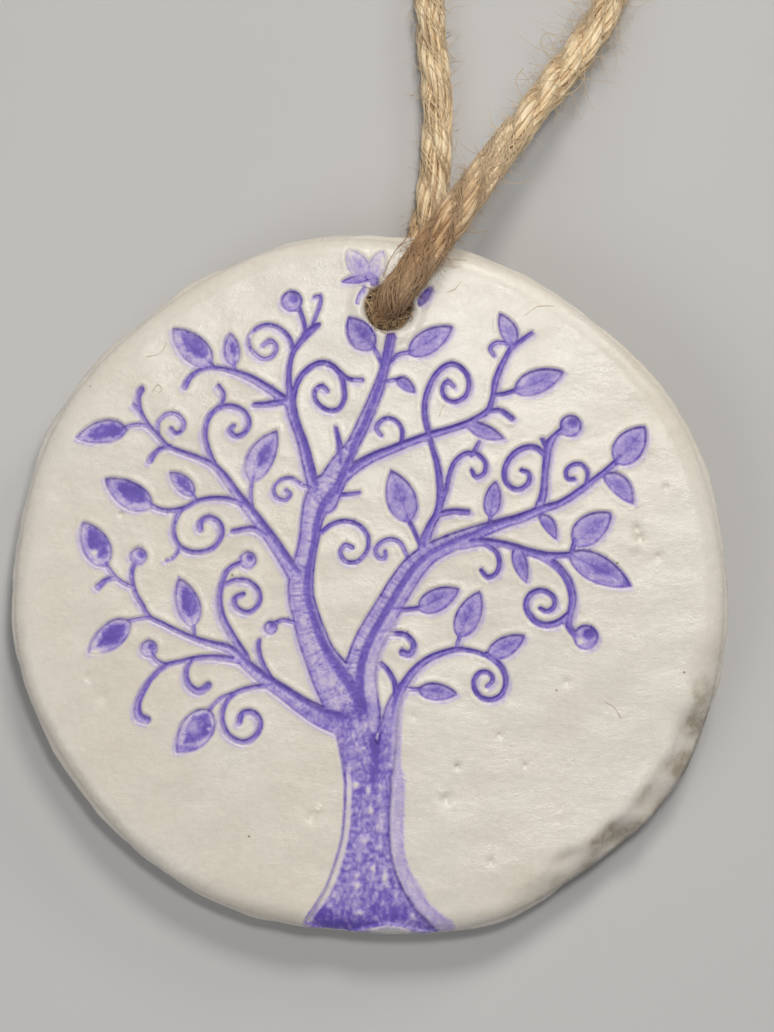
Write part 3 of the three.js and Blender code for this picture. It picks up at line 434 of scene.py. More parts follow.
# Where the print is darker or paler than its drawing: [x, y, half its width, half its height, how much].
ACCENTS = [
    # pale cells of the bark
    [-1.6, -20.8, 0.35, 0.4, -0.5], [-0.3, -21.5, 0.35, 0.5, -0.4], [1.1, -21, 0.4, 0.4, -0.42],
    [0.9, -22.2, 0.4, 0.35, -0.35], [0, -23.5, 0.35, 0.35, -0.5], [0.85, -25.1, 0.35, 0.7, -0.4],
    [-2.1, -19, 0.35, 0.4, -0.35], [-0.7, -26.7, 0.4, 0.5, -0.4], [1, -27.1, 0.35, 0.5, -0.38],
    [-1.2, -28.2, 0.35, 0.7, -0.25], [-1.3, -30.2, 0.35, 0.3, -0.5], [-1.4, -31.4, 0.35, 0.5, -0.5],
    [0.35, -30, 0.3, 1, -0.35], [1.5, -30.5, 0.35, 1, -0.45], [-3.6, -32.5, 0.5, 0.5, -0.35],
    [-1.3, -34.2, 0.45, 0.3, -0.5], [2.6, -32.5, 0.3, 0.7, -0.3], [4.4, -34.6, 0.4, 0.4, -0.35],
    [-0.9, -14.6, 0.7, 0.4, -0.3], [-1.4, -17, 0.6, 0.35, -0.3], [-1.9, -15.6, 0.5, 0.3, -0.25],
    # where ink pooled in the trunk
    [-5.3, -34.4, 0.9, 0.7, 0.4], [-3.4, -35.4, 1.6, 0.6, 0.35], [-0.5, -35.4, 1, 0.4, 0.3],
    [2.8, -34.4, 1.1, 0.6, 0.35], [0.6, -33.8, 0.8, 0.7, 0.2], [0.5, -17.5, 0.5, 2.4, 0.45],
    [0.2, -20.4, 0.35, 0.9, 0.3], [-0.8, -12.6, 1.2, 0.9, 0.35], [-3.2, -13.6, 1.6, 0.5, 0.2],
    # leaves
    [-26.6, 16.4, 0.7, 0.65, 0.4], [-29.2, 15.3, 1.4, 0.35, 0.2], [-25, 10.2, 1.5, 0.6, 0.35],
    [-27.8, 10.9, 0.4, 0.6, 0.3], [-29, 3.7, 0.35, 0.35, -0.75], [-29.4, 5, 0.6, 1, 0.25],
    [-17.2, -15.1, 0.6, 0.6, 0.45], [-17.1, -14.9, 0.2, 0.2, -0.9], [-19.4, -16.9, 1.4, 0.35, 0.35],
    [-18.6, -14.8, 0.8, 0.8, -0.35], [-26.9, -5.4, 1, 0.8, 0.25], [-28.9, -6.9, 0.5, 0.3, -0.5],
    [-19.6, -1.6, 0.4, 1.4, 0.25], [27, 0.5, 0.6, 0.5, 0.3], [24.4, 1.7, 1.6, 0.5, 0.15],
    [23.2, -4.7, 0.5, 0.5, 0.3], [22, -5.7, 0.3, 0.3, -0.6], [-12.4, 26, 0.35, 1, -0.5],
    [-12.7, 25.2, 0.12, 0.2, 0.5], [-12.2, 27, 0.15, 0.15, 0.5], [-0.2, 27, 0.5, 0.8, 0.25],
    # the top of the tree faded as the stamp rolled over the rounded edge
    [-2.4, 35.6, 1.6, 1.6, -0.4], [1.3, 34.2, 1.1, 1.2, -0.45], [14.2, 27.6, 0.7, 1, -0.2],
]

# ---- Rasters of the tablet's plane: distances to the print, its tone and its relief ----

CELL = 0.06
REACH = 39.6
AXIS = np.arange(-REACH, REACH, CELL)
FAR = 2.6
WIDE = 1.6


def blank(value=FAR):
    return np.full((len(AXIS), len(AXIS)), value, np.float32)


def window(places, margin):
    """The part of a raster that lies round some places, and the x and y of its cells."""
    low = ((np.min(places, axis=0) - margin + REACH) / CELL).astype(int).clip(0, len(AXIS) - 1)
    high = ((np.max(places, axis=0) + margin + REACH) / CELL).astype(int).clip(0, len(AXIS) - 1) + 1
    x, y = np.meshgrid(AXIS[low[0]:high[0]], AXIS[low[1]:high[1]])
    return np.s_[low[1]:high[1], low[0]:high[0]], x, y


def paint_stroke(field, run):
    """Brings the field down to the distance from a stroke's outline, which is negative inside it."""
    for (x0, y0, w0), (x1, y1, w1) in zip(run, run[1:]):
        part, x, y = window([(x0, y0), (x1, y1)], max(w0, w1) / 2 + FAR)
        dx, dy = x1 - x0, y1 - y0
        t = (((x - x0) * dx + (y - y0) * dy) / (dx * dx + dy * dy + 1e-9)).clip(0, 1)
        away = np.hypot(x - x0 - t * dx, y - y0 - t * dy) - (w0 + t * (w1 - w0)) / 2
        np.minimum(field[part], away, out=field[part])


def paint_shape(field, outline):
    """The same for a closed outline."""
    part, x, y = window(outline, FAR)
    nearest = np.full(x.shape, FAR)
    inside = np.zeros(x.shape, bool)
    for (x0, y0), (x1, y1) in zip(outline, np.roll(outline, -1, axis=0)):
        dx, dy = x1 - x0, y1 - y0
        t = (((x - x0) * dx + (y - y0) * dy) / (dx * dx + dy * dy + 1e-9)).clip(0, 1)
        nearest = np.minimum(nearest, np.hypot(x - x0 - t * dx, y - y0 - t * dy))
        crosses = ((y0 > y) != (y1 > y)) & (x < dx * (y - y0) / (dy if dy else 1e-9) + x0)
        inside ^= crosses
    np.minimum(field[part], np.where(inside, -nearest, nearest), out=field[part])


def tapered(stroke):
    """A scroll's or twig's points as [x, y, width]."""
    first, last, places = stroke
    widths = np.linspace(first, last, len(places))
    return smooth(np.column_stack([places, widths]), 0.4)


def leaf_outline(leaf, share=1.0, shift=(0, 0)):
    """A leaf is two curves from base to tip. A share below 1 shrinks it about its middle."""
    base, tip, width, bow = leaf
    base, tip = np.array(base, float), np.array(tip, float)
    along = tip - base
    across = np.array([-along[1], along[0]]) / np.linalg.norm(along)
    low, high = 0.12, 0.68
    t = np.linspace(0, 1, 13)[:, None]
    sides = []
    for side in (1, -1):
        bulge = across * (side * width / 2 / 0.75 + bow)
        p1 = base + along * low + bulge
        p2 = base + along * high + bulge
        first_half = (1 - t) ** 3 * base + 3 * (1 - t) ** 2 * t * p1
        sides.append(first_half + 3 * (1 - t) * t * t * p2 + t ** 3 * tip)
    outline = np.vstack([sides[0][:-1], sides[1][::-1][:-1]])
    middle = (base + tip) / 2
    return middle + (outline - middle) * share + np.asarray(shift)


def dark_side(x):
    """Where the ink gathered: towards the upper right on the left half, the upper left on the right half."""
    way = np.array([-x / 20, 0.7])
    return way / np.linalg.norm(way)


def rim_side(x):
    """The same for leaves and berries, where it is the upper right all over the right half."""
    return dark_side(x) if x < 12 else np.array([0.7, 0.7])


def core_of(run, side=0.24):
    """The dark line along one side of a stroke; side says how far to the right it runs in a wide one."""
    run = np.array(run, float)
    way = np.gradient(run[:, :2], axis=0)
    way /= np.linalg.norm(way, axis=1)[:, None]
    right = np.column_stack([way[:, 1], -way[:, 0]])
    ink_side = np.array([dark_side(x) for x in run[:, 0]])
    wide = ease((run[:, 2] - 1.1) / 0.8)[:, None]
    out = ink_side * (1 - wide) * 0.17 + right * wide * side
    run[:, :2] += out * run[:, 2:3]
    run[:, 2] *= 0.42 - 0.17 * wide[:, 0]
    return run


def disc_outline(x, y, radius):
    turn = np.arange(16) * math.tau / 16
    return np.column_stack([x + radius * np.cos(turn), y + radius * np.sin(turn)])


def grain(cell_x, cell_y, seed):
    """Smooth random blotches from -1 to 1 over the whole raster."""
    rng = np.random.default_rng(seed)
    columns, rows = (AXIS + REACH) / cell_x, (AXIS + REACH) / cell_y
    coarse = rng.uniform(-1, 1, (int(rows[-1]) + 2, int(columns[-1]) + 2))
    low_x, low_y = columns.astype(int), rows.astype(int)
    share_x, share_y = ease(columns - low_x), ease(rows - low_y)[:, None]
    lines = coarse[low_y] * (1 - share_y) + coarse[low_y + 1] * share_y
    return lines[:, low_x] * (1 - share_x) + lines[:, low_x + 1] * share_x


# The right main limb's dark line runs along its middle.
CORE_SIDES = {1: 0.02}


def draw_print():
    """The distances to the print, its dark cores, the hearts of its leaves, its veins and its limbs."""
    whole, core, heart, vein, limb = (blank() for _ in range(5))
    runs = [smooth(points, 0.45) for points in LIMBS]
    for field in (whole, limb):
        paint_shape(field, TRUNK)
    for run in runs:
        paint_stroke(whole, run)
        if run[0][2] > WIDE:
            paint_stroke(limb, run)
    for index, run in enumerate(runs):
        paint_stroke(core, core_of(run, CORE_SIDES.get(index, 0.24))[3:])
    for stroke in SCROLLS + TWIGS + [TREETOP_STALK, STUB]:
        run = tapered(stroke)
        paint_stroke(whole, run)
        paint_stroke(core, core_of(run))
    for leaf in LEAVES + TREETOP_LEAVES + [RIM_LEAF]:
        paint_shape(whole, leaf_outline(leaf))
        (x0, y0), (x1, y1) = leaf[:2]
        width = leaf[2]
        side = rim_side(x0)
        darker = 0.66 if x0 < -15 else 0.5
        paint_shape(heart, leaf_outline(leaf, darker, side * width * 0.1))
        paint_stroke(vein, [[x0, y0, 0.22], [x1, y1, 0.08]])
        along = np.array([x1 - x0, y1 - y0])
        across = np.array([-along[1], along[0]]) / np.linalg.norm(along)
        for share in (0.2, 0.38, 0.56):
            root = np.array([x0, y0]) + along * share
            for hand in (1, -1):
                end = root + along * 0.2 + across * hand * width * 0.33
                paint_stroke(vein, [[*root, 0.12], [*end, 0.06]])
    for x, y, radius in BERRIES:
        paint_shape(whole, disc_outline(x, y, radius))
        way = rim_side(x) * radius * 0.3
        paint_shape(core, disc_outline(x + way[0], y + way[1], radius * 0.42))
    return whole, core, heart, vein, limb


def draw_ticks():
    """Short dark strokes across the limbs, from the inked side into the pale one."""
    ticks = blank()
    rng = np.random.default_rng(3)
    for index, points in enumerate(LIMBS[:9]):
        run = smooth(points, 0.3)
        core = core_of(run, CORE_SIDES.get(index, 0.24))
        for place, dark in zip(run, core):
            width = place[2]
            if width < 1.1:
                continue
            way = (place[:2] - dark[:2]) / (np.linalg.norm(place[:2] - dark[:2]) + 1e-9)
            way = way + rng.normal(0, 0.22, 2)
            end = dark[:2] + way * width * rng.uniform(0.15, 0.7)
            paint_stroke(ticks, [[*dark[:2], rng.uniform(0.1, 0.24)], [*end, 0.04]])
    return ticks


def draw_bark():
    """Rounded cells of bark on the trunk: 0 in the cracks between them and 1 in their middles."""
    rng = np.random.default_rng(11)
    part, x, y = window([(-9, -38), (9, -9)], 0)
    across, along = 0.62, 0.95
    columns, rows = np.meshgrid(np.arange(-15, 16), np.arange(-41, -8))
    seeds_x = (columns + rng.uniform(-0.45, 0.45, columns.shape)).ravel() * across
    seeds_y = (rows + rng.uniform(-0.45, 0.45, rows.shape)).ravel() * along
    first = np.full(x.shape, 9.0)
    second = np.full(x.shape, 9.0)
    wander = 0.25 * np.sin(x * 1.7 + y) + 0.2 * np.sin(y * 2.3 - x * 0.9)
    for seed_x, seed_y in zip(seeds_x, seeds_y):
        away = np.hypot((x + wander - seed_x) / across, (y - seed_y) / along)
        second = np.minimum(second, np.maximum(first, away))
        first = np.minimum(first, away)
    bark = blank(1.0)
    bark[part] = ease((second - first) / 0.55)
    return bark


def line(field, middle, width):
    """1 where the field is near a value, falling off to 0 over a width."""
    return bell((field - middle) / width)


def drop_shift(field, x, y):
    """The same raster moved by x and y millimetres."""
    return np.roll(field, (round(y / CELL), round(x / CELL)), axis=(0, 1))


WHOLE, CORE, HEART, VEIN, LIMB = draw_print()


def make_tone_and_relief():
    """How dark the ink is (0 to 1), and how far the stamp pressed the clay down, in millimetres."""
    x, y = np.meshgrid(AXIS, AXIS)
    fine, coarse = grain(0.22, 0.22, 41), grain(0.6, 0.6, 42)
    ticks = draw_ticks()
    bark = draw_bark()
    outlines, ghosts, bands, brushed, ghost_edge = (blank() for _ in range(5))
    paint_stroke(ghost_edge, tapered(GHOST_EDGE))
    for points in PALE_BANDS:
        paint_stroke(brushed, smooth(points, 0.5))
    for stroke in OUTLINES:
        paint_stroke(outlines, tapered(stroke))
    for points in GHOSTS:
        paint_stroke(ghosts, smooth(points, 0.5))
    left_band = smooth(np.array(OUTLINES[0][2]) + (0.42, -0.05), 0.5)
    paint_stroke(bands, np.column_stack([left_band, np.linspace(0.75, 0.5, len(left_band))]))
    left, right = drop_shift(WHOLE, -0.3, -0.3), drop_shift(WHOLE, 0.3, -0.3)
    share = ease((x + 12) / 24)
    loose = left * (1 - share) + right * share
    body = ease(0.5 - WHOLE / 0.14)
    trunk = ease((-11.5 - y) / 4) * ease(0.5 - LIMB / 0.3)
    halo = ease(0.5 - loose / 0.3)
    far_left = ease((-x - 8) / 5)
    tone = 0.2 * halo + 0.16 * line(loose, -0.02, 0.09)
    tone = np.maximum(tone, (0.33 + 0.05 * coarse) * ease(0.5 - ghosts / 0.3))
    tone = np.maximum(tone, (0.46 - 0.14 * far_left + 0.09 * fine + 0.06 * coarse) * body)
    tone = np.maximum(tone, 0.44 * ease(0.5 - ghost_edge / 0.3))
    tone += (0.25 - 0.08 * far_left + 0.1 * coarse) * line(WHOLE, -0.12, 0.1) * (1 - 0.75 * trunk)
    tone += 0.16 * body * ease(0.5 - VEIN / 0.12)
    tone += (0.26 + 0.16 * fine) * body * ease(0.5 - ticks / 0.14)
    hearts = ease(0.4 - (HEART + 0.22 * fine + 0.16 * coarse) / (0.7 - 0.35 * far_left)) * body
    tone += hearts * (0.2 + 0.24 * far_left)
    deep = ease(0.5 - (CORE + 0.07 * fine + 0.06 * coarse) / 0.34) * body
    tone = tone * (1 - 0.85 * deep) + (0.88 + 0.12 * coarse) * 0.85 * deep
    wide = ease((-0.5 - LIMB) / 0.5) * (1 - trunk)
    tone -= 0.12 * wide * (1 - deep)
    speckle = grain(0.3, 0.42, 44)
    bark_tone = 0.79 - 0.26 * bark + 0.2 * speckle + 0.1 * coarse
    tone = tone * (1 - 0.8 * trunk) + 0.8 * trunk * bark_tone
    tone = tone * (1 - 0.8 * ease(0.5 - bands / 0.25) * ease((-18.5 - y) / 2))
    brush = ease(0.5 - brushed / 0.3)
    tone = tone * (1 - 0.85 * brush) + 0.85 * brush * (0.3 + 0.05 * coarse)
    tone = np.maximum(tone, 0.62 * ease(0.5 - outlines / 0.16))
    for middle_x, middle_y, half_x, half_y, change in ACCENTS:
        part, near_x, near_y = window([(middle_x, middle_y)], 3 * max(half_x, half_y))
        reach = bell(np.hypot((near_x - middle_x) / half_x, (near_y - middle_y) / half_y))
        tone[part] += change * reach * (body[part] if change > 0 else 1)
    tone *= 1 - 0.3 * ease((y - 31.5) / 1.5)
    pressed = -PRINT_DEPTH * ease((0.06 - WHOLE) / 0.34)
    pressed *= 1 - 0.6 * ease((y - 31.5) / 2)
    pressed += 0.05 * line(WHOLE, 0.32, 0.16)
    pressed += 0.1 * body * ease((-0.2 - WHOLE) / 0.2) * (1 - trunk) * (1 - deep)
    pressed += 0.2 * trunk * (0.8 - tone).clip(0, 0.7) - 0.06 * trunk
    pressed -= 0.07 * body * ease(0.5 - ticks / 0.2)
    return tone.clip(0, 1), pressed


TONE, PRESSED = make_tone_and_relief()


def sample(field, places):
    """A raster's values at rows of x and y."""
    at = (np.asarray(places)[:, :2] + REACH) / CELL
    at = at.clip(0, len(AXIS) - 1.001)
    low = at.astype(int)
    share = at - low
    x, y = low[:, 0], low[:, 1]
    below = field[y, x] * (1 - share[:, 0]) + field[y, x + 1] * share[:, 0]
    above = field[y + 1, x] * (1 - share[:, 0]) + field[y + 1, x + 1] * share[:, 0]
    return below * (1 - share[:, 1]) + above * share[:, 1]


# ---- The clay tablet ----


def rim_radius(turn):
    """The rim's distance from the middle in any direction, smooth through RIM_RADII."""
    count = len(RIM_RADII)
    swing = np.fft.rfft(RIM_RADII) / count
    order = np.arange(len(swing))
    share = np.where((order == 0) | (order == count / 2), 1, 2)
    return (np.exp(1j * np.outer(turn, order)) * swing * share).real.sum(axis=1)


def pinched(turn):
    """How much the fingers pinched the rim in a direction, from 0 to 1."""
    away = np.abs((turn - PINCH_MIDDLE + math.pi) % math.tau - math.pi)
    return ease(1.6 * (1 - away / PINCH_SPREAD))


def face_height(places):
    """The height of the printed face over the tablet's plane, without the print."""
    x, y = places[:, 0], places[:, 1]
    turn = np.arctan2(y, x)
    inset = rim_radius(turn) - np.hypot(x, y)
    height = THICKNESS + 0.1 * waves(places[:, :2], 26, 1) + 0.035 * waves(places[:, :2], 7, 2)
    height += 0.012 * waves(places[:, :2] * (0.7, 1.3), 3.2, 5)
    over = ((EDGE_WIDTH - inset) / EDGE_WIDTH).clip(0, 1)
    height -= EDGE_DEPTH * (1 - np.sqrt(1 - over * over))
    reach = PINCH_REACH + 0.5 * waves(places[:, :2], 6, 8)
    height -= PINCH_DROP * pinched(turn) * ((reach - inset) / PINCH_REACH).clip(0, 1) ** 0.9
    away = np.hypot(x - HOLE[0], y - HOLE[1])
    height += 0.24 * bell((away - HOLE_RADIUS - 0.75) / 0.75)
    rounding = ((HOLE_RADIUS + HOLE_LIP - away) / HOLE_LIP).clip(0, 1)
    height -= HOLE_LIP * (1 - np.sqrt(1 - rounding * rounding))
    for mark_x, mark_y, radius, depth in MARKS:
        height -= depth * bell(np.hypot(x - mark_x, y - mark_y) / radius)
    scratches = np.array([[-7, -24.8], [-5.6, -23.4]])
    for offset in (0, 0.5):
        along = (scratches[1] - scratches[0]) / np.linalg.norm(scratches[1] - scratches[0])
        near = np.column_stack([x, y]) - scratches[0] - [offset, 0]
        share = near @ along
        groove = 0.09 * bell((near @ [-along[1], along[0]]) / 0.14)
        height -= groove * ease(share / 0.3) * ease((2 - share) / 0.3)
    return height


def ring(count, radius_of, middle=(0, 0)):
    turn = np.arange(count) * math.tau / count
    radius = radius_of(turn)
    return turn, np.column_stack([middle[0] + radius * np.cos(turn), middle[1] + radius * np.sin(turn)])


def iso_line(level, spacing):
    """Points along the line at which the distance to the print has one value."""
    near = np.argwhere(np.abs(WHOLE - level) < CELL * 0.8)
    places = np.column_stack([AXIS[near[:, 1]], AXIS[near[:, 0]]])
    for _ in range(2):
        step = CELL
        slope = np.column_stack([
            sample(WHOLE, places + (step, 0)) - sample(WHOLE, places - (step, 0)),
            sample(WHOLE, places + (0, step)) - sample(WHOLE, places - (0, step)),
        ]) / (2 * step)
        steep = (slope ** 2).sum(axis=1)
        off = (sample(WHOLE, places) - level) / np.maximum(steep, 0.3)
        places = places - slope * off[:, None]
    places = places[np.abs(sample(WHOLE, places) - level) < 0.03]
    return thinned(places, spacing)


def thinned(places, spacing):
    """One of the places in every square of a grid."""
    squares = np.floor(places / spacing).astype(int)
    _, kept = np.unique(squares[:, 0] * 100003 + squares[:, 1], return_index=True)
    return places[kept]


def honeycomb(spacing, seed):
    """Points over the whole face, evenly spaced and a little uneven."""
    rng = np.random.default_rng(seed)
    rows = np.arange(-REACH, REACH, spacing * 0.866)
    columns = np.arange(-REACH, REACH, spacing)
    x, y = np.meshgrid(columns, rows)
    x[::2] += spacing / 2
    places = np.column_stack([x.ravel(), y.ravel()])
    return places + rng.uniform(-0.12, 0.12, places.shape) * spacing


def on_face(places, rim_gap, hole_gap):
    inset = rim_radius(np.arctan2(places[:, 1], places[:, 0])) - np.hypot(places[:, 0], places[:, 1])
    away = np.hypot(places[:, 0] - HOLE[0], places[:, 1] - HOLE[1])
    return places[(inset > rim_gap) & (away > hole_gap)]


def triangles(places):
    """Delaunay triangles of the places, as rows of three indices."""
    _, _, faces, sources, _, _ = delaunay_2d_cdt([Vector(p) for p in places.tolist()], [], [], 0, 1e-7)
    back = np.array([source[0] for source in sources])
    return back[np.array(faces)]


RIM_SIDES = 560
HOLE_SIDES = 64
HOLE_INSET = 0.12


def open_triangles(places):
    """Triangles between the rim's ring, which comes first, the hole's, which comes second, and the rest."""
    faces = triangles(places)
    on_rim = (faces < RIM_SIDES).all(axis=1)
    on_hole = ((faces >= RIM_SIDES) & (faces < RIM_SIDES + HOLE_SIDES)).all(axis=1)
    return faces[~(on_rim | on_hole)]


def hole_radius(turn):
    return HOLE_RADIUS - 0.1 + 0.06 * np.sin(2 * turn + 1) + 0.03 * np.sin(5 * turn)


def clay_face():
    """The printed face as flat places and triangles; the rim's ring comes first and the hole's second."""
    _, rim = ring(RIM_SIDES, lambda turn: rim_radius(turn) - SIDE_START)
    _, lip = ring(HOLE_SIDES, lambda turn: hole_radius(turn) + HOLE_INSET, HOLE)
    rough = honeycomb(0.62, 4)
    near = honeycomb(0.27, 6)
    inner = honeycomb(0.4, 7)
    depth_rough, depth_near, depth_inner = (sample(WHOLE, part) for part in (rough, near, inner))
    edge = rim_radius(np.arctan2(inner[:, 1], inner[:, 0])) - np.hypot(inner[:, 0], inner[:, 1])
    away = np.hypot(inner[:, 0] - HOLE[0], inner[:, 1] - HOLE[1])
    parts = [
        iso_line(-0.26, 0.26), iso_line(-0.06, 0.24), iso_line(0.07, 0.24), iso_line(0.3, 0.32),
        rough[depth_rough > 0.9],
        near[(depth_near > 0.45) & ((depth_near < 0.9) | (sample(TONE, near) > 0.02))],
        inner[(depth_inner < -0.4) | (((edge < 3) | (away < 4.6)) & (depth_inner > 0.5))],
    ]
    for x, y, radius, _ in MARKS:
        for share in (0.4, 0.9, 1.5):
            parts.append(ring(9, lambda turn: radius * share + 0 * turn, (x, y))[1])
    inside = on_face(np.vstack(parts), SIDE_START + 0.28, HOLE_RADIUS + HOLE_INSET + 0.2)
    lips = [ring(HOLE_SIDES, lambda turn: hole_radius(turn) + out, HOLE)[1] for out in (0.24, 0.4, 0.62)]
    inside = inside[np.hypot(inside[:, 0] - HOLE[0], inside[:, 1] - HOLE[1]) > HOLE_RADIUS + 0.85]
    places = np.vstack([rim, lip, *lips, inside])
    return places, open_triangles(places)


def surface(places):
    """The printed face in the tablet's millimetres."""
    return np.column_stack([places, face_height(places) + sample(PRESSED, places)])


def strip(first, second, count):
    """Quads between two closed rings of vertices that start at these indices."""
    a = np.arange(count)
    b = (a + 1) % count
    return np.column_stack([first + a, first + b, second + b, second + a]).tolist()


def side_rows(face_ring, turn):
    """The tablet's side, from the rim ring of the face down to the back's edge."""
    radius = np.hypot(face_ring[:, 0], face_ring[:, 1])
    rim = rim_radius(turn)
    shoulder = THICKNESS - EDGE_DEPTH
    nominal = THICKNESS - EDGE_DEPTH * (1 - math.sqrt(1 - ((EDGE_WIDTH - SIDE_START) / EDGE_WIDTH) ** 2))
    lean = math.asin((EDGE_WIDTH - SIDE_START) / EDGE_WIDTH)
    profile = [
        (EDGE_WIDTH * (1 - math.sin(phi)), shoulder + EDGE_DEPTH * math.cos(phi))
        for phi in np.linspace(lean, math.pi / 2, 8)[1:]
    ]
    profile += [(0, height) for height in np.linspace(shoulder, 1.7, 9)[1:]]
    profile += [
        (1.15 * (1 - math.cos(phi)), 1.7 - 1.7 * math.sin(phi))
        for phi in np.linspace(0, math.pi / 2, 9)[1:]
    ]
    rows = []
    for inset, height in profile:
        share = ease((SIDE_START - inset) / SIDE_START) if height > 1.7 else 1
        out = rim - inset - 0.5 * pinched(turn) * ease(height / 3)
        out = radius * (1 - share) + out * share if height > 1.7 else out
        level = height
        if height > 1.7:
            level = 1.7 + (height - 1.7) * (face_ring[:, 2] - 1.7) / (nominal - 1.7)
        level = level + 0 * turn
        wobble = np.column_stack([np.cos(turn) * 36, np.sin(turn) * 36, level * 1.6])
        strength = ease((nominal - height) / 1.2) * ease(height / 1.2)
        out = out + strength * (0.16 * waves(wobble, 11, 21) + 0.07 * waves(wobble, 3.4, 22))
        rows.append(np.column_stack([out * np.cos(turn), out * np.sin(turn), level]))
    return rows


def clay_tablet():
    flat, faces = clay_face()
    top = surface(flat)
    depth = sample(WHOLE, flat)
    top[:, 2] -= 0.12 * ease(-depth / 0.12)
    tones = [sample(TONE, flat)]
    blocks, quads = [top], faces.tolist()
    count = len(top)
    turn = np.arange(RIM_SIDES) * math.tau / RIM_SIDES
    previous = 0
    for row in side_rows(top[:RIM_SIDES], turn):
        quads += [quad[::-1] for quad in strip(previous, count, RIM_SIDES)]
        previous = count
        count += RIM_SIDES
        blocks.append(row)
        near_face = ease((row[:, 2] - 4.6) / 1.4)
        tones.append(sample(TONE, row * (0.985, 0.985, 1)) * near_face)
    low_ring = previous
    previous = RIM_SIDES
    hole_turn = np.arange(HOLE_SIDES) * math.tau / HOLE_SIDES
    start = top[RIM_SIDES:RIM_SIDES + HOLE_SIDES, 2]
    for level in (0.1, 0.25, 0.42, 0.6, 0.75, 0.88, 0.95, 1):
        height = start * (1 - level)
        belly = HOLE_INSET * bell(level / 0.06) + 0.45 * ease((level - 0.9) / 0.1)
        wall = hole_radius(hole_turn) + belly + 0.05 * np.sin(3 * hole_turn + 9 * level)
        across, on = wall * np.cos(hole_turn), wall * np.sin(hole_turn)
        row = np.column_stack([HOLE[0] + across, HOLE[1] + on, height])
        quads += strip(previous, count, HOLE_SIDES)
        previous = count
        count += HOLE_SIDES
        blocks.append(row)
        tones.append(np.zeros(HOLE_SIDES))
    hole_ring = previous
    made = np.vstack(blocks)
    rim_edge = made[low_ring:low_ring + RIM_SIDES]
    hole_edge = made[hole_ring:hole_ring + HOLE_SIDES]
    reach = rim_radius(turn).min() - 1.7
    filling = honeycomb(1.1, 9)
    filling = filling[np.hypot(*filling.T) < reach]
    filling = filling[np.hypot(*(filling - HOLE).T) > HOLE_RADIUS + 1]
    back = np.vstack([rim_edge[:, :2], hole_edge[:, :2], filling])
    names = np.concatenate([
        low_ring + np.arange(RIM_SIDES), hole_ring + np.arange(HOLE_SIDES), count + np.arange(len(filling)),
    ])
    quads += names[open_triangles(back)][:, ::-1].tolist()
    hollow = 0.05 + 0.05 * waves(filling, 9, 31).clip(-1, 1)
    blocks.append(np.column_stack([filling, hollow]))
    tones.append(np.zeros(len(filling)))
    places = np.vstack(blocks)
    # Each point gets the print's tone and how much painted shade darkens it.
    values = {"tone": np.concatenate(tones), "painted_shade": painted_shade_at(places)}
    return make_mesh("clay_tablet", tablet_to_world(places), quads, values)


def painted_shade_at(places):
    """Painted shade: grey-brown darkening on the pinched slope, and a little on the lower side and the back.
    """
    turn = np.arctan2(places[:, 1], places[:, 0])
    inset = rim_radius(turn) - np.hypot(places[:, 0], places[:, 1])
    patch = ease(0.5 + 0.7 * waves(places[:, :2], 4.5, 61))
    slope = pinched(turn) * ease((PINCH_REACH + 0.4 - inset) / 1.2) * patch
    low = ease((THICKNESS - 1.5 - places[:, 2]) / 3) * ease(0.5 + 0.5 * waves(places, 8, 62)) * 0.35
    return np.maximum(slope, low)


# ---- The ink: thin films in the stamped hollows ----

FILM = 0.03
# The film's mesh has a point about this far from the next.
INK_SPACING = 0.17


def ink_film(name, belongs):
    """The print's film over one part of the face, with how dark it is at every point."""
    cells = honeycomb(INK_SPACING, 12)
    cells = cells[sample(WHOLE, cells) < -0.05]
    places = np.vstack([iso_line(0, INK_SPACING), iso_line(-0.09, INK_SPACING), cells])
    places = on_face(places, 0.3, HOLE_RADIUS + 0.3)
    places = places[belongs(places[:, 0], places[:, 1])]
    places = thinned(places, INK_SPACING * 0.45)
    faces = triangles(places)
    middles = places[faces].mean(axis=1)
    sides = [np.linalg.norm(places[faces[:, i]] - places[faces[:, i - 1]], axis=1) for i in range(3)]
    faces = faces[(sample(WHOLE, middles) < 0.01) & (np.max(sides, axis=0) < INK_SPACING * 3.2)]
    used, faces = np.unique(faces, return_inverse=True)
    faces = faces.reshape(-1, 3)
    places = places[used]
    top = surface(places)
    top[:, 2] += FILM / 2
    low = top.copy()
    low[:, 2] -= FILM
    edges = np.vstack([faces[:, [0, 1]], faces[:, [1, 2]], faces[:, [2, 0]]])
    known = {tuple(edge) for edge in edges.tolist()}
    rim = [edge for edge in known if (edge[1], edge[0]) not in known]
    count = len(places)
    quads = faces.tolist() + (faces[:, ::-1] + count).tolist()
    quads += [[b, a, a + count, b + count] for a, b in sorted(rim)]
    tone = sample(TONE, places)
    return make_mesh(name, tablet_to_world(np.vstack([top, low])), quads, {"tone": np.tile(tone, 2)})


def above_hole(x, y):
    return (y > 31.6) & (x > -4.5) & (x < 3)


def beside_hole(x, y):
    return (y > 29.1) & (x > 4.2) & (x < 8)


def rest_of_print(x, y):
    return ~(above_hole(x, y) | beside_hole(x, y))


# ---- The twine ----

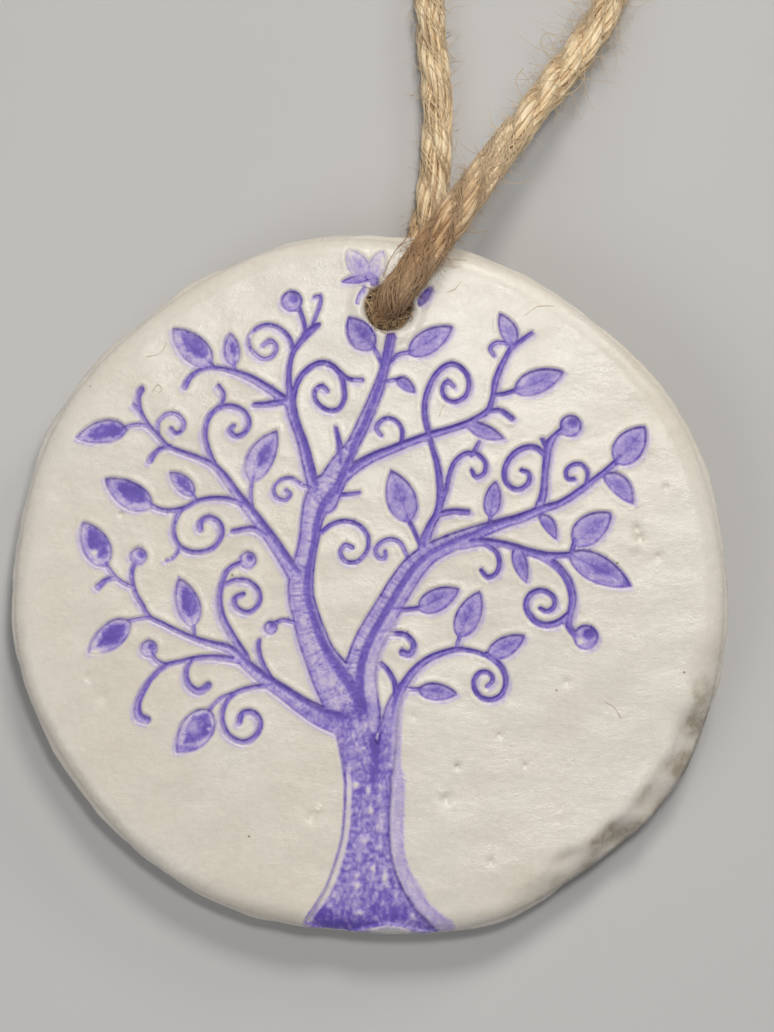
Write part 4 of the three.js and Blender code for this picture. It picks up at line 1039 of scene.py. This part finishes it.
# The loop runs from the knot down in front of the tablet, through the hole and back behind it. The places
# are in the row's frame.
ROUTE = [
    [19.4, 91.9, 2.8], [23.2, 85.6, 1.9], [26.8, 78, 1.9], [28, 70, 1.9], [26.2, 63.6, 2.4],
    [22.7, 57.8, 4.4],
    [18.2, 51.6, 7.8], [14, 45.8, 11.2], [10.4, 40.6, 13.5], [7.2, 36.2, 14.2], [4.6, 32.6, 14],
    [2.8, 30.3, 12.7], [2, 29.3, 10.4], [1.9, 29.2, 7.4], [1.95, 29.35, 4.8], [2.8, 30.8, 2.2],
    [4.5, 34, 1.9], [6, 38.6, 1.9], [7.1, 45, 1.9], [7.3, 53, 1.9], [6.6, 62, 1.9], [7.2, 72, 1.9],
    [10.4, 82, 1.9], [14.6, 91.9, 2.8],
]
LAY_LENGTH = 15.5
PLY_RADIUS = 0.86
PLY_OUT = 0.76
PLY_TWIST = -0.35
FLOOR_GAP = 0.03

KNOT = [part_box("twine_knot"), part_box("twine_tail_left"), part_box("twine_tail_right")]
KNOT_LOW, KNOT_HIGH = (np.array(corner) / MM for corner in KNOT[0])
KNOT_MIDDLE = (KNOT_LOW + KNOT_HIGH) / 2
KNOT_SIZE = KNOT_HIGH - KNOT_LOW


def along_path(path):
    """Running length, tangents and two steady normals along a path."""
    steps = np.linalg.norm(np.diff(path, axis=0), axis=1)
    length = np.concatenate([[0], np.cumsum(steps)])
    tangent = np.gradient(path, axis=0)
    tangent /= np.linalg.norm(tangent, axis=1)[:, None]
    normal = np.cross(tangent[0], [0, 0, 1])
    if np.linalg.norm(normal) < 0.1:
        normal = np.cross(tangent[0], [1, 0, 0])
    normals = []
    for way in tangent:
        normal = normal - way * (normal @ way)
        normal = normal / np.linalg.norm(normal)
        normals.append(normal)
    normals = np.array(normals)
    return length, tangent, normals, np.cross(tangent, normals)


def round_path(path, reach, turn, one, two):
    """Places at a distance from a path and a turn about it."""
    return path + reach[:, None] * (np.cos(turn)[:, None] * one + np.sin(turn)[:, None] * two)


def ply_path(path, ply, spread=0):
    """One of the three plies winding round a path."""
    length, _, one, two = along_path(path)
    turn = -math.tau * length / LAY_LENGTH + ply * math.tau / 3
    return round_path(path, PLY_OUT + spread + 0 * length, turn, one, two)


def tube(path, radius, sides, ridges=0, twist=0.0, seed=0):
    """Places, quads and attributes of a tube; its ridges are the fibres laid side by side in a ply."""
    rng = np.random.default_rng(seed)
    length, _, one, two = along_path(path)
    turn = np.arange(sides) * math.tau / sides
    radius = np.broadcast_to(radius, len(path))
    shift = rng.uniform(0, math.tau, 3)
    lay = turn[None] + twist * length[:, None]
    rough = np.ones((len(path), sides))
    if ridges:
        rough += 0.06 * np.cos(ridges * lay + shift[0] + 0.8 * np.sin(length[:, None] / 3.1))
        rough += 0.06 * np.cos((ridges // 2) * lay + shift[1] + 0.5 * np.sin(length[:, None] / 1.9))
        rough += 0.04 * np.sin(length[:, None] * 0.9 + shift[2])
    out = radius[:, None] * rough
    places = path[:, None] + out[..., None] * (
        np.cos(turn)[None, :, None] * one[:, None] + np.sin(turn)[None, :, None] * two[:, None]
    )
    rows = np.arange(len(path) - 1)[:, None] * sides
    here = np.arange(sides)[None]
    after = (here + 1) % sides
    quads = np.stack([rows + here, rows + after, rows + sides + after, rows + sides + here], -1)
    last = (len(path) - 1) * sides
    ends = [list(range(sides))[::-1], list(range(last, last + sides))]
    streak = np.column_stack([
        (lay * 3 / math.tau).ravel(), np.repeat(length, sides), np.full(len(path) * sides, seed % 97),
    ])
    return places.reshape(-1, 3), quads.reshape(-1, 4).tolist() + ends, streak, rough.ravel()


def join(name, parts):
    """One mesh object from several tubes, kept off the floor."""
    places, faces, streaks, roughs, count = [], [], [], [], 0
    for some, quads, streak, rough in parts:
        places.append(some)
        faces += [[index + count for index in quad] for quad in quads]
        streaks.append(streak)
        roughs.append(rough)
        count += len(some)
    places = np.vstack(places)
    places[:, 2] = np.maximum(places[:, 2], FLOOR_GAP)
    # The ridge heights are kept for the colour's painted shade between fibres and painted highlight on them.
    values = {"streak": np.vstack(streaks), "ridge_shade_height": np.concatenate(roughs)}
    return make_mesh(name, places * MM, faces, values)


def rope(path, seed, swell=0.0):
    """Three twisted plies, fuller where the twine was rubbed."""
    full = 1 + 0.05 * np.sin(np.arange(len(path)) / 19 + seed) + swell
    spread = PLY_OUT * (full - 1)
    return [
        tube(ply_path(path, ply, spread), PLY_RADIUS * full, 30, 13, PLY_TWIST, seed * 7 + ply)
        for ply in range(3)
    ]


def strand(middle, length, out, radius, rng):
    """A fibre that lies along a ply for a while and wanders over its surface."""
    turn = rng.uniform(0, math.tau) + PLY_TWIST * length
    turn = turn + 0.3 * np.sin(length * rng.uniform(0.3, 0.9) + rng.uniform(0, 6))
    _, _, side, up = along_path(middle)
    reach = PLY_RADIUS * (out + 0.08 * np.sin(length * 1.3 + rng.uniform(0, 6)))
    taper = radius * np.sin(np.linspace(0.15, math.pi - 0.15, len(middle))) ** 0.5
    return tube(round_path(middle, reach, turn, side, up), taper, 4, seed=int(rng.integers(97)))


def surface_strands(path, seed, each):
    """Fibres that lie along the plies."""
    rng = np.random.default_rng(seed)
    length = along_path(path)[0]
    found = []
    for ply in range(3):
        middle = ply_path(path, ply)
        for _ in range(each):
            start = int(rng.integers(0, len(path) - 10))
            part = np.s_[start:start + int(rng.integers(12, 34))]
            out, radius = rng.uniform(0.98, 1.08), rng.uniform(0.04, 0.085)
            found.append(strand(middle[part], length[part], out, radius, rng))
    return found


def cover_strands(path, seed, number, where):
    """Matted fibres that lie over the plies and run along the twine."""
    rng = np.random.default_rng(seed)
    length, _, one, two = along_path(path)
    found = []
    for _ in range(number):
        count = int(rng.integers(8, 26))
        start = int(rng.uniform(*where) * (len(path) - 1 - count))
        part = np.s_[start:start + count]
        turn = rng.uniform(0, math.tau) - rng.uniform(0.1, 0.45) * length[part]
        turn = turn + 0.35 * np.sin(length[part] * rng.uniform(0.5, 1.6) + rng.uniform(0, 6))
        reach = TWINE_RADIUS * (rng.uniform(0.86, 1) + 0.05 * np.sin(length[part] + rng.uniform(0, 6)))
        places = round_path(path[part], reach, turn, one[part], two[part])
        made = tube(places, rng.uniform(0.03, 0.065), 4, seed=int(rng.integers(97)))
        found.append(clear_of_tablet(made))
    return found


def hair(root, way, long, curl, radius, rng, steps=7):
    """A thin fibre that leaves the twine and bends away."""
    bend = np.cross(way, rng.normal(size=3))
    bend /= np.linalg.norm(bend) + 1e-9
    places = [np.array(root, float)]
    way = np.array(way, float)
    for _ in range(steps):
        way = way + bend * curl * rng.uniform(0.5, 1.4) / steps
        way /= np.linalg.norm(way)
        places.append(places[-1] + way * long / steps)
    taper = radius * np.linspace(1, 0.45, steps + 1)
    return tube(np.array(places), taper, 3, seed=int(rng.integers(97)))


def fuzz(path, seed, number, longest, reach=TWINE_RADIUS, where=(0.0, 1.0)):
    """Short hairs that stand out all along the twine, mostly combed along it."""
    rng = np.random.default_rng(seed)
    _, tangent, one, two = along_path(path)
    found = []
    for _ in range(number):
        at = int(rng.uniform(*where) * (len(path) - 1))
        turn = rng.uniform(0, math.tau)
        out = math.cos(turn) * one[at] + math.sin(turn) * two[at]
        root = path[at] + out * reach * rng.uniform(0.75, 1)
        way = out * rng.uniform(0.25, 1) + tangent[at] * rng.choice([-1, 1]) * rng.uniform(0.3, 1.2)
        way /= np.linalg.norm(way)
        long = longest * rng.uniform(0.25, 1) ** 1.6
        found.append(hair(root, way, long, rng.uniform(0.2, 2.6), rng.uniform(0.022, 0.045), rng))
    return [clear_of_tablet(some) for some in found]


def all_fuzz(path):
    """Fuzz along the whole twine, thicker in the rubbed tuft of the front leg and over the clay."""
    return (
        fuzz(path, 6, 1300, 3)
        + fuzz(path, 7, 340, 5.5, where=(0.2, 0.31))
        + fuzz(path, 8, 420, 2.2, where=(0.36, 0.5))
        + fuzz(path, 9, 500, 1.5, reach=1.85, where=(0.39, 0.48))
        + loose_fibres()
        + hole_strands(18, 16, HOLE_RADIUS + 0.3, THICKNESS + 0.35, THICKNESS + 0.8, 0.045)
    )


# As far as this from the hole, the tablet's rim can come under the twine when it swings.
SWEEP = 13.0


def clear_of_tablet(part):
    """Lifts whatever would run into the tablet's face or back out of it, also when the twine swings."""
    places, quads, streak, rough = part
    flat = world_to_tablet(places * MM)
    x, y, z = flat.T
    from_hole = np.hypot(x - HOLE[0], y - HOLE[1])
    inside = np.hypot(x, y) < rim_radius(np.arctan2(y, x)) + 0.05
    inside |= from_hole < SWEEP
    inside &= from_hole > HOLE_RADIUS - 0.35
    top = THICKNESS + 0.34
    high = inside & (z > THICKNESS * 0.45) & (z < top)
    low = inside & (z <= THICKNESS * 0.45) & (z > -0.06)
    z = np.where(high, top, z)
    z = np.where(low, -0.08, z)
    flat[:, 2] = z
    return tablet_to_world(flat) / MM, quads, streak, rough


# Flyaway fibres, as places in the row's frame.
LOOSE_FIBRES = [
    [[19.6, 51.9, 8.6], [19.3, 51, 9.4], [18.5, 50.3, 9.8], [17.4, 49.9, 9.6]],
    [[19.4, 53.4, 8.4], [20.6, 52.6, 10], [21.3, 53.6, 10.6], [20.7, 54.6, 10.2], [19.8, 54.2, 9.4]],
    [[20.4, 55.6, 7.6], [18.6, 56.5, 9.4], [18.1, 57.8, 9.8], [19, 58.6, 9.4], [20.4, 57.8, 8.6]],
    [[21, 55.4, 7.4], [22.4, 54.2, 8.6], [22.9, 52.6, 9], [22.2, 51.4, 8.8]],
    [[17.4, 50.3, 9.6], [16, 51.6, 10.6], [15.4, 53.3, 10.6], [16.2, 54.6, 10]],
    [[18.9, 52.3, 8.9], [20.4, 51.8, 9.8], [21.6, 52.2, 9.8], [22.7, 53.6, 9.4], [22.8, 55.2, 8.8]],
    [[14.5, 46.3, 12.4], [12.9, 47.9, 13.2], [12.3, 49.9, 12.8]],
    [[12, 43, 14.2], [13.6, 41.8, 14.8], [15.5, 41.6, 14.4], [17, 42.4, 13.8]],
    [[9.4, 39.2, 15.3], [7.6, 40.9, 15.4], [6.9, 43, 14.6]],
    [[6.1, 34.9, 15.6], [8, 33.6, 15.4], [10, 33.5, 14.6]],
    [[8.4, 37.8, 15.6], [10.2, 36.4, 15.3], [12.1, 36.6, 14.4]],
    [[4.9, 36, 12.6], [3.4, 35.6, 11.9], [2.2, 34.2, 11.7], [1.4, 32.3, 11.6]],
    [[5.6, 36.6, 12.6], [4.4, 37.4, 12.4], [3.8, 36.2, 12], [2.9, 35.3, 11.9]],
]


def loose_fibres():
    return [
        clear_of_tablet(tube(smooth(places, 0.3), 0.045, 3, seed=index))
        for index, places in enumerate(LOOSE_FIBRES)
    ]


def hole_strands(seed, number, widest, low, high, thickest):
    """Fibres rubbed loose where the twine goes into the hole, which criss-cross it between two levels."""
    rng = np.random.default_rng(seed)
    found = []
    for _ in range(number):
        turn, heading = rng.uniform(0, math.tau, 2)
        heading = heading + rng.uniform(-1.4, 1.4) * np.linspace(-1, 1, 5)
        steps = rng.uniform(0.2, 0.75) * np.column_stack([np.cos(heading), np.sin(heading)])
        flat = np.cumsum(steps, axis=0) - steps.sum(axis=0) / 2
        flat += widest * math.sqrt(rng.uniform()) * np.array([math.cos(turn), math.sin(turn)])
        flat *= np.minimum(1, widest / np.linalg.norm(flat, axis=1))[:, None]
        level = low + (high - low) * rng.uniform() + rng.uniform(-0.2, 0.2, 5)
        places = np.column_stack([flat + HOLE, level.clip(None, high)])
        path = tablet_to_world(smooth(places, 0.3)) / MM
        found.append(tube(path, rng.uniform(0.03, thickest), 4, seed=int(rng.integers(97))))
    return found


def knot_parts():
    """The knot: both ends of the loop go through two wraps of the same twine."""
    parts = []
    across, on, up = KNOT_SIZE / 2
    for side in (-1, 1):
        places = [
            [side * 2.3, -on - 0.6, -1.4], [side * 1.9, -on / 2, -0.5], [side * 1.7, 0, 0],
            [side * 1.9, on / 2, -0.6], [side * 2.1, on + 0.3, -1.4],
        ]
        parts += rope(smooth(KNOT_MIDDLE + np.array(places), 0.45), 40 + side)
    turn = np.linspace(0, 2 * math.tau, 90)
    share = np.linspace(-1, 1, len(turn))
    reach = 1 - 0.32 * ease((np.abs(share) - 0.8) / 0.2)
    wrap = np.column_stack([
        (across - TWINE_RADIUS) * reach * np.cos(turn),
        (on - TWINE_RADIUS) * 0.92 * share + 0.5 * np.sin(turn),
        (up - TWINE_RADIUS) * reach * np.sin(turn) + 0.05,
    ])
    return parts + rope(KNOT_MIDDLE + wrap, 43)


def tail_parts(side):
    """A cut end that comes out of the knot and frays."""
    root = KNOT_SIZE[1] / 2 + 0.2
    long = float(KNOT[1][1][1]) / MM - KNOT_MIDDLE[1] - root
    places = [[2.1, root, -1.4], [3.6, root + long / 2, -2.3], [5.6, root + long - 2.2, -2.3]]
    middle = KNOT_MIDDLE + np.array([[side * out, on, up] for out, on, up in places])
    path = smooth(middle, 0.45)
    rng = np.random.default_rng(50 + side)
    spread = 0.75 * ease((np.linspace(0, 1, len(path)) - 0.72) / 0.28)
    taper = PLY_RADIUS * (1 - 0.45 * ease((np.linspace(0, 1, len(path)) - 0.8) / 0.2))
    parts = [tube(ply_path(path, ply, spread), taper, 20, 9, -0.5, 60 + ply) for ply in range(3)]
    way = path[-1] - path[-6]
    way /= np.linalg.norm(way)
    for _ in range(60):
        root_at = path[-1 - int(rng.integers(0, 6))] + rng.normal(0, 0.75, 3) * (1, 1, 0.6)
        heading = way + rng.normal(0, 0.3, 3) * (1, 1, 0.5)
        heading /= np.linalg.norm(heading)
        parts.append(hair(root_at, heading, rng.uniform(1, 2.6), rng.uniform(0, 1), 0.05, rng))
    return parts


def add_twine():
    path = smooth(ROUTE, 0.4)
    share = np.linspace(0, 1, len(path))
    swell = 0.2 * bell((share - 0.43) / 0.035) + 0.16 * bell((share - 0.27) / 0.035)
    swell -= 0.14 * bell((share - 0.345) / 0.03)
    loop = join("twine_cord", rope(path, 1, swell))
    matted = cover_strands(path, 12, 420, (0.35, 0.52)) + cover_strands(path, 13, 200, (0, 1))
    fibres = join("twine_fibres", surface_strands(path, 5, 230) + matted)
    hairs = join("twine_fuzz", all_fuzz(path))
    curled = hole_strands(17, 260, HOLE_RADIUS + 0.05, THICKNESS - 1.4, THICKNESS + 0.15, 0.075)
    tangle = join("twine_tangle", curled)
    knot = join("twine_knot_wraps", knot_parts())
    left = join("twine_end_left", tail_parts(-1))
    right = join("twine_end_right", tail_parts(1))
    pieces = [loop, fibres, hairs, tangle, knot, left, right]
    for piece in pieces:
        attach(piece, "twine")
    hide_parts("twine_loop")
    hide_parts("twine_knot")
    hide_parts("twine_tail_left")
    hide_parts("twine_tail_right")
    return pieces


def lint():
    """A few stray hairs that lie on the clay."""
    rng = np.random.default_rng(23)
    places = [
        [[7.2, 18], [7.5, 18.9], [8, 19.5]], [[8, 31], [8.9, 31.4], [9.5, 32.2]],
        [[-22.9, 20.6], [-22.4, 21.3], [-21.9, 20.9], [-22.3, 20.4]],
        [[16.2, 28.6], [17.5, 29.5], [19.2, 29.6]],
        [[-23.6, 24.2], [-22.2, 24.6], [-21.4, 25.8]], [[24.6, -12], [25.6, -12.6], [26.3, -13.8]],
    ]
    parts = []
    for line_places in places:
        flat = smooth(line_places, 0.2)
        height = face_height(flat) + sample(PRESSED, flat) + 0.05
        path = tablet_to_world(np.column_stack([flat, height])) / MM
        parts.append(tube(path, 0.028, 3, seed=int(rng.integers(97))))
    return join("clay_lint", parts)


# ---- Materials ----

CLAY_COLOUR = (0.74, 0.69, 0.605)
CLAY_WARM = (0.70, 0.635, 0.53)
SPECK_BROWN = (0.25, 0.19, 0.13, 1)
# Grey-brown for the shade painted on the pinched slope and the lower side.
PAINTED_SHADE_BROWN = (0.36, 0.30, 0.22, 1)
LILAC = (0.54, 0.47, 0.66)
DUSKY_LILAC = (0.46, 0.385, 0.64)
MID_PURPLE = (0.29, 0.22, 0.54)
DARK_PURPLE = (0.135, 0.085, 0.42)
DEEPEST_PURPLE = (0.11, 0.065, 0.36)


def add(tree, kind, inputs=None, **settings):
    """A shader node with its settings and its inputs, which are values or other nodes' outputs."""
    made = tree.nodes.new(kind)
    for key, value in settings.items():
        setattr(made, key, value)
    for key, value in (inputs or {}).items():
        if isinstance(value, bpy.types.NodeSocket):
            tree.links.new(value, made.inputs[key])
        else:
            made.inputs[key].default_value = value
    return made


def sums(tree, operation, *values, clamp=False):
    made = add(tree, "ShaderNodeMath", dict(enumerate(values)), operation=operation, use_clamp=clamp)
    return made.outputs[0]


def new_material(name):
    """A material's node tree, its shader and millimetre coordinates that stay with the piece."""
    material = bpy.data.materials.new(name)
    material.use_nodes = True
    tree = material.node_tree
    shader = tree.nodes["Principled BSDF"]
    place = add(tree, "ShaderNodeTexCoord").outputs["Object"]
    scaled = add(tree, "ShaderNodeVectorMath", {0: place, 1: (1000, 1000, 1000)}, operation="MULTIPLY")
    return material, tree, shader, scaled.outputs[0]


def noise(tree, place, scale, detail=3.0, roughness=0.55, stretch=(1, 1, 1)):
    moved = add(tree, "ShaderNodeVectorMath", {0: place, 1: stretch}, operation="MULTIPLY").outputs[0]
    made = add(tree, "ShaderNodeTexNoise", {
        "Vector": moved, "Scale": scale, "Detail": detail, "Roughness": roughness,
    })
    return made.outputs["Fac"]


def ramp(tree, value, stops):
    """A colour ramp: [position, colour]."""
    made = add(tree, "ShaderNodeValToRGB", {"Fac": value})
    elements = made.color_ramp.elements
    while len(elements) < len(stops):
        elements.new(0.5)
    for element, (position, colour) in zip(elements, stops):
        element.position = position
        element.color = (*colour, 1)
    return made.outputs["Color"]


def grey(value):
    return (value, value, value)


def blend_colours(tree, share, first, second):
    made = add(tree, "ShaderNodeMix", {0: share, 6: first, 7: second}, data_type="RGBA")
    return made.outputs[2]


def multiply(tree, share, first, second):
    values = {0: share, 6: first, 7: second}
    made = add(tree, "ShaderNodeMix", values, data_type="RGBA", blend_type="MULTIPLY")
    return made.outputs[2]


def away_from(tree, place, middle):
    """The distance from a point, in millimetres."""
    made = add(tree, "ShaderNodeVectorMath", {0: place, 1: middle}, operation="DISTANCE")
    return made.outputs["Value"]


def clay_colour(tree, place):
    """Warm white with faint clouds, darker specks and a little dust."""
    clouds = noise(tree, place, 0.05, 4, 0.6)
    grain = noise(tree, place, 1.4, 3, 0.6)
    base = ramp(tree, clouds, [(0.35, CLAY_WARM), (0.65, CLAY_COLOUR)])
    soft = ramp(tree, grain, [(0.3, grey(0.93)), (0.7, grey(1.0))])
    both = multiply(tree, 1.0, base, soft)
    cells = add(tree, "ShaderNodeTexVoronoi", {"Vector": place, "Scale": 0.16}).outputs["Distance"]
    speck = ramp(tree, cells, [(0.012, grey(1)), (0.03, grey(0))])
    return blend_colours(tree, speck, both, SPECK_BROWN)


def inked(tree, place, base):
    """The ink's colour over the clay's, from how dark the print is at each point."""
    tone = add(tree, "ShaderNodeAttribute", attribute_name="tone").outputs["Fac"]
    mottle = noise(tree, place, 1.7, 5, 0.7)
    fine = noise(tree, place, 6, 2, 0.6)
    shift = sums(tree, "SUBTRACT", mottle, 0.5)
    shift = sums(tree, "MULTIPLY", shift, 0.62)
    more = sums(tree, "MULTIPLY", sums(tree, "SUBTRACT", fine, 0.5), 0.3)
    shift = sums(tree, "ADD", shift, more)
    reach = sums(tree, "MULTIPLY", tone, 4.0, clamp=True)
    shift = sums(tree, "MULTIPLY", shift, reach)
    level = sums(tree, "ADD", tone, shift, clamp=True)
    ink = ramp(tree, level, [
        (0.1, LILAC), (0.3, DUSKY_LILAC), (0.55, MID_PURPLE), (0.82, DARK_PURPLE), (1.0, DEEPEST_PURPLE),
    ])
    cover = ramp(tree, level, [(0.02, grey(0)), (0.2, grey(0.62)), (0.42, grey(0.93)), (0.7, grey(1))])
    return blend_colours(tree, cover, base, ink)


def clay_bump(tree, place):
    """Fine grain and wrinkles that run across the face."""
    wrinkle = noise(tree, place, 0.85, 5, 0.62, (0.8, 1.25, 1))
    grain = noise(tree, place, 5.5, 3, 0.6)
    height = sums(tree, "ADD", sums(tree, "MULTIPLY", wrinkle, 0.75), sums(tree, "MULTIPLY", grain, 0.3))
    made = add(tree, "ShaderNodeBump", {"Height": height, "Strength": 0.34, "Distance": 0.00025})
    return made.outputs["Normal"]


def clay_material():
    material, tree, shader, place = new_material("clay")
    base = clay_colour(tree, place)
    # Painted shade: blended towards grey-brown on the pinched slope, the lower side and the back.
    painted_shade = add(tree, "ShaderNodeAttribute", attribute_name="painted_shade").outputs["Fac"]
    cloud = ramp(tree, noise(tree, place, 0.9, 4, 0.7), [(0.3, grey(0.3)), (0.6, grey(1))])
    painted_shade_share = sums(tree, "MULTIPLY", painted_shade, cloud)
    base = blend_colours(tree, painted_shade_share, base, PAINTED_SHADE_BROWN)
    colour = inked(tree, place, base)
    tree.links.new(colour, shader.inputs["Base Color"])
    gloss = noise(tree, place, 0.35, 4, 0.6, (0.9, 1.2, 1))
    rough = ramp(tree, gloss, [(0.3, grey(0.24)), (0.7, grey(0.36))])
    tree.links.new(rough, shader.inputs["Roughness"])
    tree.links.new(clay_bump(tree, place), shader.inputs["Normal"])
    shader.inputs["Specular IOR Level"].default_value = 0.55
    shader.inputs["Subsurface Weight"].default_value = 0.08
    shader.inputs["Subsurface Radius"].default_value = (0.9, 0.7, 0.5)
    shader.inputs["Subsurface Scale"].default_value = 0.0008
    return material


def ink_material():
    material, tree, shader, place = new_material("ink")
    colour = inked(tree, place, clay_colour(tree, place))
    tree.links.new(colour, shader.inputs["Base Color"])
    rough = ramp(tree, noise(tree, place, 2.6, 4, 0.6), [(0.3, grey(0.34)), (0.7, grey(0.55))])
    tree.links.new(rough, shader.inputs["Roughness"])
    tree.links.new(clay_bump(tree, place), shader.inputs["Normal"])
    shader.inputs["Specular IOR Level"].default_value = 0.45
    return material


# Painted shade: the twine is coloured darker brown near these middles, at its bend over the clay and in the
# hole, in the row's millimetres.
SHADE_BROWN_AROUND = [(2.6, 36.5, 13), (1.9, 29.2, 9)]
HOLE_SHADE_BROWN = (0.47, 0.27, 0.125, 1)


def jute_material(name, dark, mid, light, straw, shade_browning=0.95):
    """Streaky bast fibre: colour and grain run along each ply, with painted shade between the fibre ridges
    and a painted highlight on them, and painted brown shade near the hole and the bend over it.
    """
    material, tree, shader, place = new_material(name)
    streak = add(tree, "ShaderNodeAttribute", attribute_name="streak").outputs["Vector"]
    ridge_shade_height = add(tree, "ShaderNodeAttribute", attribute_name="ridge_shade_height").outputs["Fac"]
    fine = noise(tree, streak, 1.0, 4, 0.65, (13, 0.3, 1))
    broad = noise(tree, streak, 1.0, 3, 0.6, (3, 0.12, 1))
    level = sums(tree, "ADD", sums(tree, "MULTIPLY", fine, 0.6), sums(tree, "MULTIPLY", broad, 0.4))
    # Painted shade and highlight: darker in the grooves between the fibre ridges, lighter on their tops.
    ridge_shading = sums(tree, "MULTIPLY", sums(tree, "SUBTRACT", ridge_shade_height, 1.0), 1.1)
    level = sums(tree, "ADD", level, ridge_shading, clamp=True)
    colour = ramp(tree, level, [(0.32, dark), (0.42, mid), (0.51, light), (0.63, straw)])
    # Painted shade: the colour is multiplied towards brown nearer the hole and the bend over it.
    reach = sums(tree, "MINIMUM", *(away_from(tree, place, middle) for middle in SHADE_BROWN_AROUND))
    hole_shade_share = sums(tree, "SUBTRACT", 1.0, sums(tree, "DIVIDE", reach, 14.0), clamp=True)
    hole_shade_share = sums(tree, "MULTIPLY", hole_shade_share, shade_browning)
    tree.links.new(multiply(tree, hole_shade_share, colour, HOLE_SHADE_BROWN), shader.inputs["Base Color"])
    shader.inputs["Roughness"].default_value = 0.72
    shader.inputs["Specular IOR Level"].default_value = 0.3
    shader.inputs["Sheen Weight"].default_value = 0.15
    bump = add(tree, "ShaderNodeBump", {"Height": fine, "Strength": 0.6, "Distance": 0.00018})
    tree.links.new(bump.outputs["Normal"], shader.inputs["Normal"])
    return material


def floor_material():
    material, tree, shader, place = new_material("floor")
    tone = ramp(tree, noise(tree, place, 0.01, 2), [(0.3, (0.5, 0.49, 0.475)), (0.7, (0.53, 0.52, 0.505))])
    tree.links.new(tone, shader.inputs["Base Color"])
    shader.inputs["Roughness"].default_value = 0.8
    return material


# ---- Floor and light ----


def add_floor():
    half = 0.6
    corners = [[-half, -half, 0], [half, -half, 0], [half, half, 0], [-half, half, 0]]
    floor = make_mesh("floor", corners, [[0, 1, 2, 3]])
    floor.data.materials.append(floor_material())


def add_lamp(name, place, target, size, power, colour):
    data = bpy.data.lights.new(name, "AREA")
    data.shape = "DISK"
    data.size = size
    data.energy = power
    data.color = colour
    lamp = bpy.data.objects.new(name, data)
    bpy.context.scene.collection.objects.link(lamp)
    lamp.location = place
    way = Vector(target) - Vector(place)
    lamp.rotation_euler = way.to_track_quat("-Z", "Y").to_euler()


# Each lamp: [name, place, what it points at, size, watts, colour], in metres.
LAMPS = [
    ["key", (0.16, 0.66, 0.78), (0, 0.01, 0), 0.26, 4.2, (1, 0.97, 0.93)],
    ["window", (0.03, 0.05, 0.33), (0.012, 0.03, 0), 0.045, 0.34, (1, 0.99, 0.97)],
    ["side", (0.42, 0.5, 0.35), (0, 0.01, 0), 0.2, 0.95, (1, 0.99, 0.97)],
    ["fill", (-0.35, -0.25, 0.45), (0, 0, 0), 0.4, 0.95, (0.95, 0.97, 1)],
]


def add_lights():
    for lamp in LAMPS:
        add_lamp(*lamp)
    world = bpy.data.worlds.new("world")
    world.use_nodes = True
    world.node_tree.nodes["Background"].inputs["Color"].default_value = (0.9, 0.93, 1, 1)
    world.node_tree.nodes["Background"].inputs["Strength"].default_value = 0.15
    bpy.context.scene.world = world
    bpy.context.scene.view_settings.view_transform = "Standard"


# ---- The object ----

TWINE = add_twine()
CLAY = clay_tablet()
INK = [
    ink_film("tree_print", rest_of_print),
    ink_film("treetop_print", above_hole),
    ink_film("rim_leaf_print", beside_hole),
]
LINT = lint()

JUTE = jute_material("jute", (0.2, 0.105, 0.045), (0.56, 0.37, 0.19), (0.88, 0.67, 0.4), (1, 0.86, 0.61))
STRAW = jute_material(
    "jute fibre", (0.22, 0.12, 0.055), (0.56, 0.38, 0.2), (0.9, 0.7, 0.44), (1, 0.89, 0.67),
)
# Painted shade: the fibres in the hole get a darker, browner jute than the rest.
HOLE_SHADED_JUTE = jute_material(
    "jute shaded in the hole", (0.13, 0.06, 0.025), (0.36, 0.2, 0.095), (0.62, 0.4, 0.2), (1, 0.8, 0.52), shade_browning=0,
)
LOOSE = {"twine_fibres": STRAW, "twine_fuzz": STRAW, "twine_tangle": HOLE_SHADED_JUTE}
for piece in TWINE:
    piece.data.materials.append(LOOSE.get(piece.name, JUTE))
CLAY.data.materials.append(clay_material())
for piece in INK:
    piece.data.materials.append(ink_material())
LINT.data.materials.append(STRAW)
for piece in [CLAY, LINT, *INK]:
    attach(piece, "disc")
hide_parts("clay_disc")
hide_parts("tree_ink")
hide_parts("treetop_ink")
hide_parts("rim_leaf_ink")

add_floor()
add_lights()
